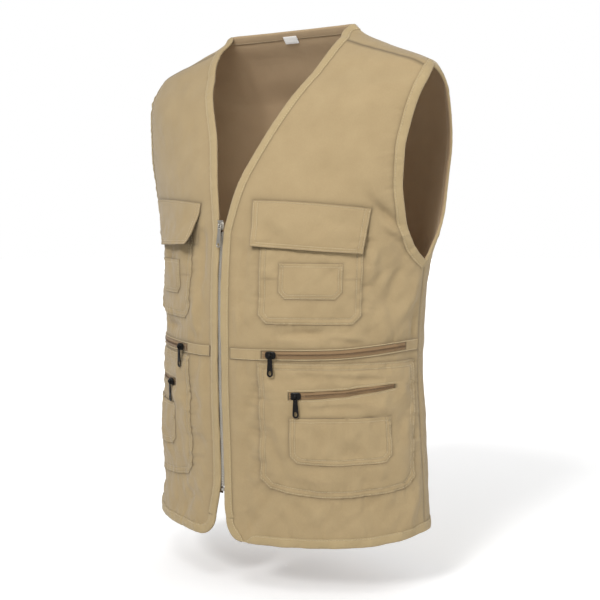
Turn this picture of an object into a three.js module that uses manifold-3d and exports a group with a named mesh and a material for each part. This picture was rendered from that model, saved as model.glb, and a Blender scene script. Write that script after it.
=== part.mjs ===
import * as THREE from "three";
import Module from "manifold-3d";

// Utility work vest in millimetres. Up is +Z, the front faces -Y, the wearer's left is +X.
// The origin lies midway between the two neck points, at the height of the shoulders.
// Cloth is placed by a level z and by "round": 0 centre front, 1 side seam, 2 centre back.
// "across" is the length along the cloth from the centre front, in millimetres.

const wasm = await Module();
wasm.setup();

// Makes rows with named columns out of short rows of numbers.
function table(names, rows) {
  return rows.map((row) => Object.fromEntries(names.map((name, index) => [name, row[index]])));
}

// Outline of the body at each level: a front half and a back half that meet at the sides.
const bodyLevels = table(
  ["z", "halfWidth", "middle", "frontDepth", "backDepth", "frontPower", "backPower"],
  [
    [-680, 209, 14, 146, 101, 1.8, 1.95],
    [-560, 199, 22, 151, 100, 1.92, 1.95],
    [-430, 190, 24, 158, 100, 1.95, 1.95],
    [-300, 204, 17, 149, 103, 1.7, 2],
    [-215, 224, 17, 138, 106, 1.75, 2.2],
    [-150, 233, 14, 110, 104, 2.05, 2.4],
    [-90, 230, 8, 77, 86, 2.4, 2.5],
    [-59, 220, 6, 54, 62, 2.15, 2.5],
    [-30, 153, 10, 42, 34, 2.05, 2.3],
    [-15, 119, 10, 26, 18, 2, 2.1],
    [0, 100, 10, 4, 6, 2, 2],
  ],
);

// Front neckline from the hidden join over the zip up to the neck point.
const frontNeckline = table(["z", "across"], [
  [-262, 4.5], [-240, 9], [-202, 19], [-172, 30], [-141, 43], [-105, 62], [-70, 81], [-36, 95],
  [-13, 100.5], [-1.5, 101.5],
]);

// Armhole edge in front of and behind the shoulder.
const armpitLevel = -299;
const armholeFront = table(["z", "round"], [
  [armpitLevel, 1], [-291, 0.955], [-277, 0.905], [-244, 0.838], [-200, 0.798], [-165, 0.791],
  [-131, 0.818], [-94, 0.878], [-72, 0.95], [-61, 1],
]);
const armholeBack = table(["z", "round"], [
  [armpitLevel, 1], [-290, 1.04], [-272, 1.1], [-251, 1.15], [-228, 1.185], [-204, 1.205], [-181, 1.213],
  [-158, 1.215], [-136, 1.205], [-116, 1.18], [-98, 1.145], [-82, 1.1], [-68, 1.045], [-61, 1],
]);

// Free front edge of each side below the neckline. The edges part a little under the zip.
const frontEdge = table(["z", "left", "right"], [
  [-640, 9, 14], [-621, 7.5, 12.5], [-602, 5, 8.5], [-585, 4.5, 5], [-560, 4, 4], [-262, 4, 4],
]);

// Height of the hem and of the waist seam round the body.
const hemline = table(["round", "z"], [
  [0, -647], [0.4, -646.5], [0.73, -645], [0.84, -642], [0.93, -639], [1, -636.5], [1.3, -638], [2, -641],
]);
const waistline = table(["round", "z"], [
  [0, -413.3], [0.35, -412], [0.56, -410.8], [0.72, -407.6], [0.91, -404], [1, -403.5],
]);

// Rows of the cloth grid: level at the inner edge, level at the outer edge.
const upperFrontRows = table(["inner", "outer"], [
  [-21, -67], [-38, -84], [-59, -106], [-82, -128], [-106, -150], [-130, -173], [-154, -196],
  [-178, -219], [-202, -242], [-226, -264], [-250, -283], [-276, armpitLevel], [-304, -322], [-332, -342],
  [-360, -362], [-387, -383],
]);
const lowerFrontLevels = [-445, -478, -511, -544, -577, -600, -621];
const shoulderRows = table(["innerRound", "innerZ", "outerRound", "outerZ"], [
  [0.84, -9, 1, -61], [0.98, -2.2, 1.03, -65], [1.1, -1, 1.06, -72], [1.25, -1, 1.09, -79],
  [1.42, -1, 1.122, -89], [1.6, -1, 1.158, -103], [1.8, -1, 1.188, -120], [2, -1, 1.205, -138],
]);
const backRows = table(["inner", "outer"], [
  [-32, -158], [-64, -181], [-97, -204], [-131, -228], [-166, -251], [-201, -272], [-236, -290],
  [-270, armpitLevel], [-303, -322], [-336, -350], [-371, -378], [-408, -408], [-443, -440], [-478, -475],
  [-513, -510], [-548, -545], [-583, -577], [-610, -603],
]);
const clothColumns = 7;

// Folds and dents pressed into the cloth. Left and right rows lie on the fronts, measured across;
// back rows are measured sideways from the centre back. Turn is the tilt of the long direction
// from level, in degrees. Depth is negative for a valley.
const folds = table(["panel", "across", "z", "length", "width", "turn", "depth"], [
  ["left", 214, -254, 30, 13, -38, -4],
  ["left", 204, -335, 48, 15, 90, -3],
  ["left", 30, -345, 45, 12, 90, -1.6],
  ["left", 145, -390, 34, 13, 0, -2.2],
  ["left", 186, -520, 45, 14, 90, -2.2],
  ["left", 125, -613, 45, 18, 80, 2.2],
  ["left", 150, -150, 60, 26, 60, -2],
  ["right", 30, -335, 60, 13, 90, -2.6],
  ["right", 205, -330, 48, 15, 90, -2.4],
  ["right", 120, -395, 34, 14, 0, -1.8],
  ["right", 120, -615, 45, 18, 95, 2],
  ["back", -90, -330, 90, 28, 82, -3],
  ["back", 70, -420, 110, 28, 96, -3],
  ["back", 0, -150, 80, 36, 0, -2.5],
]);
const seamCalm = 14;

// Cloth and layer sizes. A lift is the height of a layer's inner face over the body cloth.
const clothHalf = 0.75;
const seamGap = 0.4;
const cornerRadius = 26;
const hemRise = 26;
const bandWidth = 11;
const bandClear = 0.45;
const bandThickness = 1;
const layerLift = 1.4;
const layerThickness = 1;
const chestPuff = 2.1;
const cardLift = 3.6;
const flapThickness = 1.6;
const lowerPuff = 2.7;
const smallPocketLift = 4.6;

// Waist strip and the four pocket zips.
const stripHalf = 7;
const stripInner = 17;
const stripOuter = 271;
const waistWindow = { from: 62, to: 247, half: 4.9 };
const lowerZipLine = table(["across", "z", "half"], [
  [96, -461.2, 4.7], [112, -461, 4.7], [154, -459, 4.3], [184, -455.8, 3.9], [212, -453.2, 3.2], [229, -452, 2.4],
]);
const zipFit = 0.35;
const zipTapeThickness = 0.8;
const hiddenTapeHalf = 6.5;
const coilHalf = 1.5;
const coilTopHalf = 1;
const coilHeight = 1.25;

// Chest pocket, its card pocket and its flap.
const chestPocket = {
  top: -262, bottom: -375.5, inner: 56, outer: 184, cut: 11, sag: 0,
};
const cardPocket = {
  top: -300.5, bottom: -345, inner: 81, outer: 159.5, cut: 9, sag: 0,
};
const flaps = table(
  ["side", "innerTop", "outerTop", "innerBottom", "outerBottom", "innerRise", "outerRise"],
  [
    [1, -224.5, -234.5, -281, -289, 6.5, 5],
    [-1, -228.5, -223, -281, -284, 19, 4.5],
  ],
);
const flapInnerTop = 42.5;
const flapOuterTop = 191.5;
const flapInnerBottom = 46;
const flapOuterBottom = 182;

// Lower pocket and the small pocket on it.
const lowerPocket = {
  top: -421.5, bottom: -578, inner: 56, outer: 266, cut: 13, sag: 8.5,
};
const lowerPocketBottomOuter = 255;
const lowerPocketLevels = [-505, -535];
const smallPocket = {
  top: -488, bottom: -544, inner: 95.5, outer: 221, cut: 9, sag: 2.5,
};

// Front zip.
const chainTop = -263;
const chainBottom = -584;
const chainHalf = 2.2;
const chainDepth = { inner: -2.6, outer: 0.2 };
const frontTape = { inner: 2.6, outer: 15, lift: -3.5, thickness: 1.1, top: -256, bottom: -592 };
const stopSize = { height: 4, gap: 0.6 };

// Sliders and pull tabs. The hinge pin of a tab runs level through the arch of its slider.
const arch = { inner: 1.5, outer: 2.7, width: 2.4, legs: 0.9, steps: 6 };
const frontSlider = { width: 9, height: 12, thickness: 2.6, bottom: 2.5, z: -256, nose: 2 };
const pocketSlider = { width: 13, height: 9, thickness: 2.6, clearOverCoil: 0.4, nose: 2.4 };
const tabThickness = 1.2;
const tabEye = { half: 1.5, bottom: -3.4, wall: 1.2, bar: 0.6 };
const frontTab = { length: 28, half: 3.6, holeHalf: 1.9, holeHigh: 2.2, rest: 1.5 };
const pocketTab = { length: 26.5, half: 3.9, holeHalf: 1.6, holeHigh: 3.2, rest: 1.5 };
const waistSliderAcross = 74;
const lowerSliderAcross = 104.5;
const waistCoilStart = 63.5;

// Label inside the back of the neck.
const label = { half: 11, top: -13.5, bottom: -22.5, lift: -2.25, thickness: 1 };

// Colours.
const finishes = {
  cloth: { color: 0xbfa87f, roughness: 0.92, metalness: 0 },
  band: { color: 0xc6b08a, roughness: 0.9, metalness: 0 },
  zipTape: { color: 0x96764e, roughness: 0.8, metalness: 0 },
  blackMetal: { color: 0x1c1814, roughness: 0.4, metalness: 0.6 },
  silverMetal: { color: 0xc9c6bf, roughness: 0.3, metalness: 0.9 },
  labelCloth: { color: 0xf1efea, roughness: 0.85, metalness: 0 },
};

// Even steps of a value, both ends included.
function steps(from, to, count) {
  return Array.from({ length: count + 1 }, (_, i) => from + ((to - from) * i) / count);
}

// Smooth curve through a table that never overshoots its rows.
function smoothCurve(rows, from, to) {
  const sorted = [...rows].sort((a, b) => a[from] - b[from]);
  const xs = sorted.map((row) => row[from]);
  const ys = sorted.map((row) => row[to]);
  const last = xs.length - 1;
  const steps = xs.slice(1).map((x, i) => x - xs[i]);
  const rises = steps.map((step, i) => (ys[i + 1] - ys[i]) / step);
  const slopes = ys.map((_, i) => {
    if (i === 0) return rises[0];
    if (i === last) return rises[last - 1];
    if (rises[i - 1] * rises[i] <= 0) return 0;
    const before = 2 * steps[i] + steps[i - 1];
    const after = steps[i] + 2 * steps[i - 1];
    return (before + after) / (before / rises[i - 1] + after / rises[i]);
  });
  return (value) => {
    const x = Math.min(Math.max(value, xs[0]), xs[last]);
    let i = 0;
    while (i < last - 1 && x > xs[i + 1]) i += 1;
    const t = (x - xs[i]) / steps[i];
    const t2 = t * t;
    const t3 = t2 * t;
    return (2 * t3 - 3 * t2 + 1) * ys[i] + (t3 - 2 * t2 + t) * steps[i] * slopes[i]
      + (3 * t2 - 2 * t3) * ys[i + 1] + (t3 - t2) * steps[i] * slopes[i + 1];
  };
}

const level = Object.fromEntries(
  ["halfWidth", "middle", "frontDepth", "backDepth", "frontPower", "backPower"]
    .map((name) => [name, smoothCurve(bodyLevels, "z", name)]),
);
const outlineSteps = 48;
const outlines = new Map();

// Point of one half outline at an angle, before it is moved to the middle of the body.
function outlinePoint(width, depth, power, angle) {
  const sideways = Math.sin(angle);
  const forwards = Math.cos(angle);
  const reach = (Math.abs(sideways) ** power + Math.abs(forwards) ** power) ** (-1 / power);
  return [width * sideways * reach, depth * forwards * reach];
}

// Outline at one level with its running length, worked out once for each level.
function outlineAt(z) {
  if (outlines.has(z)) return outlines.get(z);
  const width = level.halfWidth(z);
  const middle = level.middle(z);
  const halves = [
    [level.frontDepth(z), level.frontPower(z)],
    [level.backDepth(z), level.backPower(z)],
  ].map(([depth, power]) => {
    const lengths = [0];
    let before = outlinePoint(width, depth, power, 0);
    for (let i = 1; i <= outlineSteps; i += 1) {
      const here = outlinePoint(width, depth, power, (Math.PI / 2) * (i / outlineSteps));
      lengths.push(lengths[i - 1] + Math.hypot(here[0] - before[0], here[1] - before[1]));
      before = here;
    }
    return { depth, power, lengths, total: lengths[outlineSteps] };
  });
  const outline = { width, middle, front: halves[0], back: halves[1] };
  outlines.set(z, outline);
  return outline;
}

// Point on the middle of the cloth for a place round the body, without folds.
function bodyPoint(round, z, side) {
  let mirrored = side;
  let place = round;
  if (place < 0) {
    place = -place;
    mirrored = -mirrored;
  }
  if (place > 2) {
    place = 4 - place;
    mirrored = -mirrored;
  }
  const height = Math.min(z, 0);
  const outline = outlineAt(height);
  const isBack = place > 1;
  const half = isBack ? outline.back : outline.front;
  const wanted = (isBack ? 2 - place : place) * half.total;
  let i = 1;
  while (i < outlineSteps && half.lengths[i] < wanted) i += 1;
  const part = (wanted - half.lengths[i - 1]) / (half.lengths[i] - half.lengths[i - 1]);
  const angle = (Math.PI / 2) * ((i - 1 + part) / outlineSteps);
  const [x, y] = outlinePoint(outline.width, half.depth, half.power, angle);
  return new THREE.Vector3(mirrored * x, outline.middle + (isBack ? y : -y), z);
}

// Position, outward direction and upward direction of the cloth at a place.
function bodyFrame(round, z, side) {
  const roundStep = 0.004;
  const levelStep = 0.6;
  const top = Math.min(z + levelStep, 0);
  const along = bodyPoint(round + roundStep, z, side).sub(bodyPoint(round - roundStep, z, side));
  const upwards = bodyPoint(round, top, side).sub(bodyPoint(round, top - 2 * levelStep, side));
  const out = new THREE.Vector3().crossVectors(along, upwards).multiplyScalar(side).normalize();
  return { point: bodyPoint(round, z, side), out, upwards: upwards.normalize() };
}

function roundFor(across, z) {
  return across / outlineAt(Math.min(z, 0)).front.total;
}

// Height of the folds over the plain cloth. It fades out beside the side seams.
function foldHeight(round, z, side) {
  const outline = outlineAt(Math.min(z, 0));
  const isBack = round > 1;
  const panel = isBack ? "back" : (side > 0 ? "left" : "right");
  const half = isBack ? outline.back : outline.front;
  const run = (isBack ? 2 - round : round) * half.total;
  const across = isBack ? side * run : run;
  const calm = Math.min(1, Math.max(0, (half.total - run) / seamCalm));
  let height = 0;
  for (const fold of folds) {
    if (fold.panel !== panel) continue;
    const turn = THREE.MathUtils.degToRad(fold.turn);
    const dx = across - fold.across;
    const dz = z - fold.z;
    const alongFold = (dx * Math.cos(turn) + dz * Math.sin(turn)) / fold.length;
    const acrossFold = (dz * Math.cos(turn) - dx * Math.sin(turn)) / fold.width;
    height += fold.depth * Math.exp(-alongFold * alongFold - acrossFold * acrossFold);
  }
  return height * calm;
}

// Point of the cloth at a height over its middle face.
function clothPoint(place, height) {
  const frame = bodyFrame(place.round, place.z, place.side);
  return frame.point.addScaledVector(frame.out, height + foldHeight(place.round, place.z, place.side));
}

// Collects triangles, joining equal corners and leaving out flat ones.
function meshBuilder() {
  const corners = [];
  const known = new Map();
  const faces = [];
  const corner = (point) => {
    const key = [point.x, point.y, point.z].map((value) => Math.round(value * 1000)).join(",");
    if (!known.has(key)) {
      known.set(key, corners.length);
      corners.push(point.clone());
    }
    return known.get(key);
  };
  const triangle = (a, b, c) => {
    if (a !== b && b !== c && c !== a) faces.push([a, b, c]);
  };
  // Splits a quad from its first corner to its third, or the other way.
  const quad = (a, b, c, d, otherWay = false) => {
    triangle(a, b, otherWay ? d : c);
    triangle(otherWay ? b : a, c, d);
  };
  // Splits a quad along its shorter diagonal.
  const shortQuad = (a, b, c, d) => {
    const straight = corners[a].distanceTo(corners[c]);
    quad(a, b, c, d, corners[b].distanceTo(corners[d]) < straight);
  };
  const geometry = () => {
    let volume = 0;
    for (const [a, b, c] of faces) {
      volume += corners[a].dot(new THREE.Vector3().crossVectors(corners[b], corners[c]));
    }
    const index = volume < 0 ? faces.map(([a, b, c]) => [a, c, b]) : faces;
    const result = new THREE.BufferGeometry();
    const flat = corners.flatMap((point) => [point.x, point.y, point.z]);
    result.setAttribute("position", new THREE.Float32BufferAttribute(flat, 3));
    result.setIndex(index.flat());
    result.computeVertexNormals();
    return result;
  };
  return { corner, triangle, quad, shortQuad, geometry };
}

// True when the second diagonal of four places is clearly the shorter one.
function splitsOtherWay(places) {
  const [a, b, c, d] = places.map((place) => bodyPoint(place.round, place.z, place.side));
  return b.distanceTo(d) < a.distanceTo(c) - 1e-4;
}

// Closed layer of cloth over a grid of places. Every place holds its lift over the body cloth.
// Grids of several parts are joined where their places meet. Cells named in skip stay open,
// as do cells with a corner that is null.
function layer(grids, thickness, skip = () => false) {
  const builder = meshBuilder();
  const edges = new Map();
  const cells = [];
  for (const grid of grids) {
    const ids = grid.map((row) => row.map((place) => place && ({
      inner: builder.corner(clothPoint(place, place.lift)),
      outer: builder.corner(clothPoint(place, place.lift + thickness)),
    })));
    for (let r = 0; r + 1 < grid.length; r += 1) {
      for (let c = 0; c + 1 < grid[r].length; c += 1) {
        const cell = [ids[r][c], ids[r + 1][c], ids[r + 1][c + 1], ids[r][c + 1]];
        const places = [grid[r][c], grid[r + 1][c], grid[r + 1][c + 1], grid[r][c + 1]];
        if (cell.includes(null) || skip(r, c)) continue;
        const [a, b, d, e] = cell;
        const order = grid[r][c].side > 0 ? [a, b, d, e] : [a, e, d, b];
        cells.push({ order, otherWay: splitsOtherWay(places) });
      }
    }
  }
  for (const { order: cell, otherWay } of cells) {
    cell.forEach((from, i) => {
      const to = cell[(i + 1) % cell.length];
      if (from.outer === to.outer) return;
      const back = `${to.outer}>${from.outer}`;
      if (edges.has(back)) edges.delete(back);
      else edges.set(`${from.outer}>${to.outer}`, [from, to]);
    });
    const [a, b, c, d] = cell;
    builder.quad(a.outer, b.outer, c.outer, d.outer, otherWay);
    builder.quad(a.inner, d.inner, c.inner, b.inner, otherWay);
  }
  for (const [from, to] of edges.values()) {
    builder.shortQuad(from.outer, from.inner, to.inner, to.outer);
  }
  return builder.geometry();
}

// Place a given width inside an edge, square to the edge, toward a place farther inside.
function insetPlace(before, here, after, toward, width) {
  const frame = bodyFrame(here.round, here.z, here.side);
  const edge = bodyPoint(after.round, after.z, after.side)
    .sub(bodyPoint(before.round, before.z, before.side)).normalize();
  const inward = new THREE.Vector3().crossVectors(frame.out, edge).normalize();
  const target = bodyPoint(toward.round, toward.z, toward.side).sub(frame.point);
  if (inward.dot(target) < 0) inward.negate();
  const roundStep = 0.01;
  const levelStep = here.z > -3 ? -2 : 2;
  const perRound = bodyPoint(here.round + roundStep, here.z, here.side)
    .sub(frame.point).divideScalar(roundStep);
  const perLevel = bodyPoint(here.round, here.z + levelStep, here.side)
    .sub(frame.point).divideScalar(levelStep);
  const rr = perRound.dot(perRound);
  const rl = perRound.dot(perLevel);
  const ll = perLevel.dot(perLevel);
  const determinant = rr * ll - rl * rl;
  const r = inward.dot(perRound);
  const l = inward.dot(perLevel);
  let found = {
    round: here.round + (width * (r * ll - l * rl)) / determinant,
    z: here.z + (width * (l * rr - r * rl)) / determinant,
    side: here.side,
  };
  // The step is corrected once for the bend of the cloth.
  const reached = bodyPoint(found.round, found.z, found.side).distanceTo(frame.point);
  const scale = width / reached;
  found = {
    round: here.round + (found.round - here.round) * scale,
    z: here.z + (found.z - here.z) * scale,
    side: here.side,
  };
  return found;
}

// Row of a cloth grid. The first and last steps lie under the bands; a step without a band
// holds null, and the cloth then ends one column earlier.
function gridRow(inner, innerInset, outerInset, outer, columns) {
  const from = innerInset ?? inner;
  const to = outerInset ?? outer;
  const places = steps(0, 1, columns).map((t) => ({
    round: from.round + (to.round - from.round) * t,
    z: from.z + (to.z - from.z) * t,
    side: inner.side,
  }));
  const row = [innerInset && inner, ...places, outerInset && outer];
  return row.map((place) => place && ({ ...place, lift: -clothHalf }));
}

const neckAcross = smoothCurve(frontNeckline, "z", "across");
const armholeFrontRound = smoothCurve(armholeFront, "z", "round");
const hemLevel = smoothCurve(hemline, "round", "z");
const waistLevel = smoothCurve(waistline, "round", "z");
const edgeAcross = {
  1: smoothCurve(frontEdge, "z", "left"),
  "-1": smoothCurve(frontEdge, "z", "right"),
};

function frontInnerPlace(z, side) {
  const across = z > frontNeckline[0].z ? neckAcross(z) : edgeAcross[side](z);
  return { round: roundFor(across, z), z, side };
}

function frontOuterPlace(z, side) {
  return { round: z > armpitLevel ? armholeFrontRound(z) : 1, z, side };
}

// Half a seam gap round the body, as a share of the front half outline.
function seamShare(z) {
  return seamGap / 2 / outlineAt(z).front.total;
}

function moveRow(row, dz) {
  return row.map((place) => place && ({ ...place, z: place.z + dz }));
}

// Keeps a grid clear of the side seam by half the seam gap.
function clearSideSeam(grid, direction) {
  return grid.map((row) => row.map((place) => {
    if (!place || Math.abs(place.round - 1) > 1e-6 || place.z > armpitLevel) return place;
    return { ...place, round: 1 + direction * seamShare(place.z) };
  }));
}

// Row of places along the waist seam, spaced like the row it replaces.
function waistRow(row, dz) {
  return row.map((place) => place && ({ ...place, z: waistLevel(place.round) + dz }));
}

// Inset places along an edge path that goes on past both ends. Later rows have no band here.
function insetsAlong(before, path, towards, count) {
  return path.map((here, k) => {
    if (k >= count) return null;
    return insetPlace(k === 0 ? before : path[k - 1], here, path[k + 1], towards[k], bandWidth);
  });
}

function armpitInset(side) {
  return { round: 1, z: armpitLevel - bandWidth, side };
}

function shoulderPlaces(row, side) {
  return {
    inner: { round: row.innerRound, z: row.innerZ, side },
    outer: { round: row.outerRound, z: row.outerZ, side },
  };
}

const frontArmpitRow = upperFrontRows.findIndex((row) => row.outer === armpitLevel);

function upperFrontGrid(side) {
  const innerEdge = upperFrontRows.map((row) => frontInnerPlace(row.inner, side));
  const outerEdge = upperFrontRows.map((row) => frontOuterPlace(row.outer, side));
  innerEdge.push(frontInnerPlace(waistLevel(0), side));
  outerEdge.push(frontOuterPlace(waistLevel(1), side));
  const count = innerEdge.length;
  const { inner: aboveInner, outer: aboveOuter } = shoulderPlaces(shoulderRows[0], side);
  const below = frontInnerPlace(lowerFrontLevels[0], side);
  const innerInsets = insetsAlong(aboveInner, [...innerEdge, below], outerEdge, count);
  const outerInsets = insetsAlong(aboveOuter, outerEdge, innerEdge, frontArmpitRow);
  outerInsets[frontArmpitRow] = armpitInset(side);
  const grid = innerEdge.map((inner, k) => (
    gridRow(inner, innerInsets[k], outerInsets[k], outerEdge[k], clothColumns)
  ));
  grid[0] = moveRow(grid[0], -seamGap / 2);
  grid[count - 1] = waistRow(grid[count - 1], seamGap / 2);
  return grid;
}

// Lower front with its rounded corner. The last two rows hold the hem band.
function lowerFrontGrid(side) {
  const start = lowerFrontLevels[lowerFrontLevels.length - 1];
  const lastOuter = hemLevel(1) + hemRise;
  const innerEdge = [waistLevel(0), ...lowerFrontLevels].map((z) => frontInnerPlace(z, side));
  const outerEdge = innerEdge.map(({ z }) => {
    const t = (waistLevel(0) - z) / (waistLevel(0) - start);
    return frontOuterPlace(waistLevel(1) + (lastOuter - waistLevel(1)) * t, side);
  });
  const above = frontInnerPlace(upperFrontRows[upperFrontRows.length - 1].inner, side);
  const path = [...innerEdge, frontInnerPlace(start - 10, side)];
  const innerInsets = insetsAlong(above, path, outerEdge, innerEdge.length);
  const grid = innerEdge.map((inner, k) => gridRow(inner, innerInsets[k], null, outerEdge[k], clothColumns));
  grid[0] = waistRow(grid[0], -seamGap / 2);
  const edge = edgeAcross[side](start);
  const arcPlace = (degrees, radius) => {
    const angle = THREE.MathUtils.degToRad(degrees);
    const z = start - radius * Math.sin(angle);
    return { round: roundFor(edge + cornerRadius - radius * Math.cos(angle), z), z, side, lift: -clothHalf };
  };
  const insetRow = [arcPlace(30, cornerRadius), arcPlace(45, cornerRadius - bandWidth)];
  const hemRow = [arcPlace(60, cornerRadius), arcPlace(90, cornerRadius)];
  const from = hemRow[1].round;
  for (const t of steps(0, 1, clothColumns).slice(1)) {
    const round = from + (1 - from) * t;
    insetRow.push({ round, z: hemLevel(round) + bandWidth, side, lift: -clothHalf });
    hemRow.push({ round, z: hemLevel(round), side, lift: -clothHalf });
  }
  grid.push([...insetRow, null], [...hemRow, null]);
  return grid;
}

const armholeBackRound = smoothCurve(armholeBack, "z", "round");
const neckCentreRow = shoulderRows.length;
const backArmpitRow = 1 + shoulderRows.length + backRows.findIndex((row) => row.outer === armpitLevel);

// Half of the back. Its first row is the forward shoulder seam, shared with the front.
function backGrid(side) {
  const [seam] = upperFrontGrid(side);
  const shoulder = shoulderRows.map((row) => shoulderPlaces(row, side));
  const innerEdge = [seam[0], ...shoulder.map((row) => row.inner)];
  const outerEdge = [seam[seam.length - 1], ...shoulder.map((row) => row.outer)];
  for (const row of backRows) {
    innerEdge.push({ round: 2, z: row.inner, side });
    outerEdge.push({ round: row.outer > armpitLevel ? armholeBackRound(row.outer) : 1, z: row.outer, side });
  }
  const innerInsets = insetsAlong(seam[0], innerEdge, outerEdge, neckCentreRow);
  const beside = innerEdge[neckCentreRow - 1];
  const mirrored = { ...beside, side: -side };
  const below = innerEdge[neckCentreRow + 1];
  const neckCentre = insetPlace(beside, innerEdge[neckCentreRow], mirrored, below, bandWidth);
  innerInsets[neckCentreRow] = { ...neckCentre, round: 2 };
  const outerInsets = insetsAlong(seam[seam.length - 1], outerEdge, innerEdge, backArmpitRow);
  outerInsets[backArmpitRow] = armpitInset(side);
  const grid = innerEdge.map((inner, k) => (
    gridRow(inner, innerInsets[k] ?? null, outerInsets[k] ?? null, outerEdge[k], clothColumns)
  ));
  grid[0] = moveRow(seam, seamGap);
  const last = grid[grid.length - 1];
  grid.push(last.map((place) => place && ({ ...place, z: hemLevel(place.round) + bandWidth })));
  grid.push(last.map((place) => place && ({ ...place, z: hemLevel(place.round) })));
  return grid;
}

// Band that wraps an edge: a list of sections, each with an edge place and an inset place.
function band(sections, closed) {
  const builder = meshBuilder();
  const near = clothHalf + bandClear;
  const far = near + bandThickness;
  const rings = sections.map(({ edge, inset }) => {
    const at = (place, height) => clothPoint(place, height);
    const outward = at(edge, 0).sub(at(inset, 0)).normalize();
    const over = (height, reach) => at(edge, height).addScaledVector(outward, reach);
    return [
      at(inset, near), over(near, bandClear), over(-near, bandClear), at(inset, -near),
      at(inset, -far), over(-far, bandClear + bandThickness), over(far, bandClear + bandThickness),
      at(inset, far),
    ].map((point) => builder.corner(point));
  });
  const count = closed ? rings.length : rings.length - 1;
  for (let k = 0; k < count; k += 1) {
    const here = rings[k];
    const next = rings[(k + 1) % rings.length];
    const first = sections[k];
    const second = sections[(k + 1) % rings.length];
    const fromInset = splitsOtherWay([first.edge, first.inset, second.inset, second.edge]);
    here.forEach((_, i) => {
      const j = (i + 1) % here.length;
      const startsInset = i === 0 || i === 3 || i === 7;
      const endsInset = j === 0 || j === 3 || j === 7;
      if (startsInset === endsInset) {
        builder.shortQuad(here[i], here[j], next[j], next[i]);
      } else {
        builder.quad(here[i], here[j], next[j], next[i], startsInset !== fromInset);
      }
    });
  }
  if (!closed) {
    const capEnd = (ring, flip) => {
      const quads = [[0, 7, 6, 1], [1, 6, 5, 2], [2, 5, 4, 3]];
      for (const corners of quads) {
        const order = flip ? [...corners].reverse() : corners;
        builder.quad(...order.map((i) => ring[i]));
      }
    };
    capEnd(rings[0], false);
    capEnd(rings[rings.length - 1], true);
  }
  return builder.geometry();
}

// Moves the first or last section of a band a little toward its neighbour.
function shorten(sections, index, neighbour, distance) {
  const from = sections[index];
  const to = sections[neighbour];
  const length = clothPoint(from.edge, 0).distanceTo(clothPoint(to.edge, 0));
  const t = distance / length;
  const mix = (a, b) => ({
    round: a.round + (b.round - a.round) * t,
    z: a.z + (b.z - a.z) * t,
    side: a.side,
  });
  sections[index] = { edge: mix(from.edge, to.edge), inset: mix(from.inset, to.inset) };
}

const innerSection = (row) => ({ edge: row[0], inset: row[1] });
const outerSection = (row) => ({ edge: row[row.length - 1], inset: row[row.length - 2] });

// Sections of the front and neck band on one side, from the hem corner to the centre back.
function neckSections(side) {
  const lower = lowerFrontGrid(side);
  const upper = upperFrontGrid(side);
  const back = backGrid(side);
  const sections = lower.slice(1, -2).reverse().map(innerSection);
  sections.push(...upper.slice(1).reverse().map(innerSection));
  sections.push(...back.slice(0, neckCentreRow + 1).map(innerSection));
  return sections;
}

function frontAndNeckBand() {
  const left = neckSections(1);
  const right = neckSections(-1);
  right.pop();
  const sections = [...left, ...right.reverse()];
  shorten(sections, 0, 1, seamGap / 2);
  shorten(sections, sections.length - 1, sections.length - 2, seamGap / 2);
  return band(sections, false);
}

// Sections of the hem band on one side, from the corner to the centre back.
function hemSections(side) {
  const lower = lowerFrontGrid(side);
  const [startRow, insetRow, hemRow] = lower.slice(-3);
  const [backInset, backHem] = backGrid(side).slice(-2);
  const sections = [
    innerSection(startRow),
    { edge: insetRow[0], inset: insetRow[1] },
    { edge: hemRow[0], inset: insetRow[1] },
  ];
  const addRow = (edges, insets) => edges.forEach((edge, c) => {
    if (edge) sections.push({ edge, inset: insets[c] });
  });
  addRow(hemRow.slice(1), insetRow.slice(1));
  addRow(backHem.slice(0, -2).reverse(), backInset.slice(0, -2).reverse());
  return sections;
}

function hemBand() {
  const left = hemSections(1);
  const right = hemSections(-1);
  right.pop();
  const sections = [...left, ...right.reverse()];
  shorten(sections, 0, 1, seamGap / 2);
  shorten(sections, sections.length - 1, sections.length - 2, seamGap / 2);
  return band(sections, false);
}

function armholeBand(side) {
  const sections = upperFrontGrid(side).slice(1, frontArmpitRow).reverse().map(outerSection);
  sections.push(...backGrid(side).slice(0, backArmpitRow).map(outerSection));
  sections.push({ edge: { round: 1, z: armpitLevel, side }, inset: armpitInset(side) });
  return band(sections, true);
}

// Sewn pocket with cut lower corners and a free upper edge.
function pocket(shape, side, edgeLift, puff, columns, levels) {
  const width = shape.outer - shape.inner;
  const grid = [...levels, shape.bottom].map((base, r) => {
    const isBottom = r === levels.length;
    const cut = isBottom ? shape.cut : 0;
    return columns.map((column, c) => {
      const t = (column - shape.inner) / width;
      const across = shape.inner + cut + (width - 2 * cut) * t;
      const down = (shape.top - base) / (shape.top - shape.bottom);
      const z = base - shape.sag * 4 * t * (1 - t) * down;
      const isSewn = isBottom || c === 0 || c === columns.length - 1;
      return { round: roundFor(across, z), z, side, lift: isSewn ? edgeLift : puff };
    });
  });
  return layer([grid], layerThickness);
}

function chestPocketLayer(side) {
  const columns = steps(chestPocket.inner, chestPocket.outer, 7);
  const levels = steps(chestPocket.top, chestPocket.bottom + chestPocket.cut, 4);
  return pocket(chestPocket, side, layerLift, chestPuff, columns, levels);
}

function cardPocketLayer(side) {
  const columns = steps(cardPocket.inner, cardPocket.outer, 4);
  const levels = steps(cardPocket.top, cardPocket.bottom + cardPocket.cut, 2);
  return pocket(cardPocket, side, cardLift, cardLift, columns, levels);
}

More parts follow.
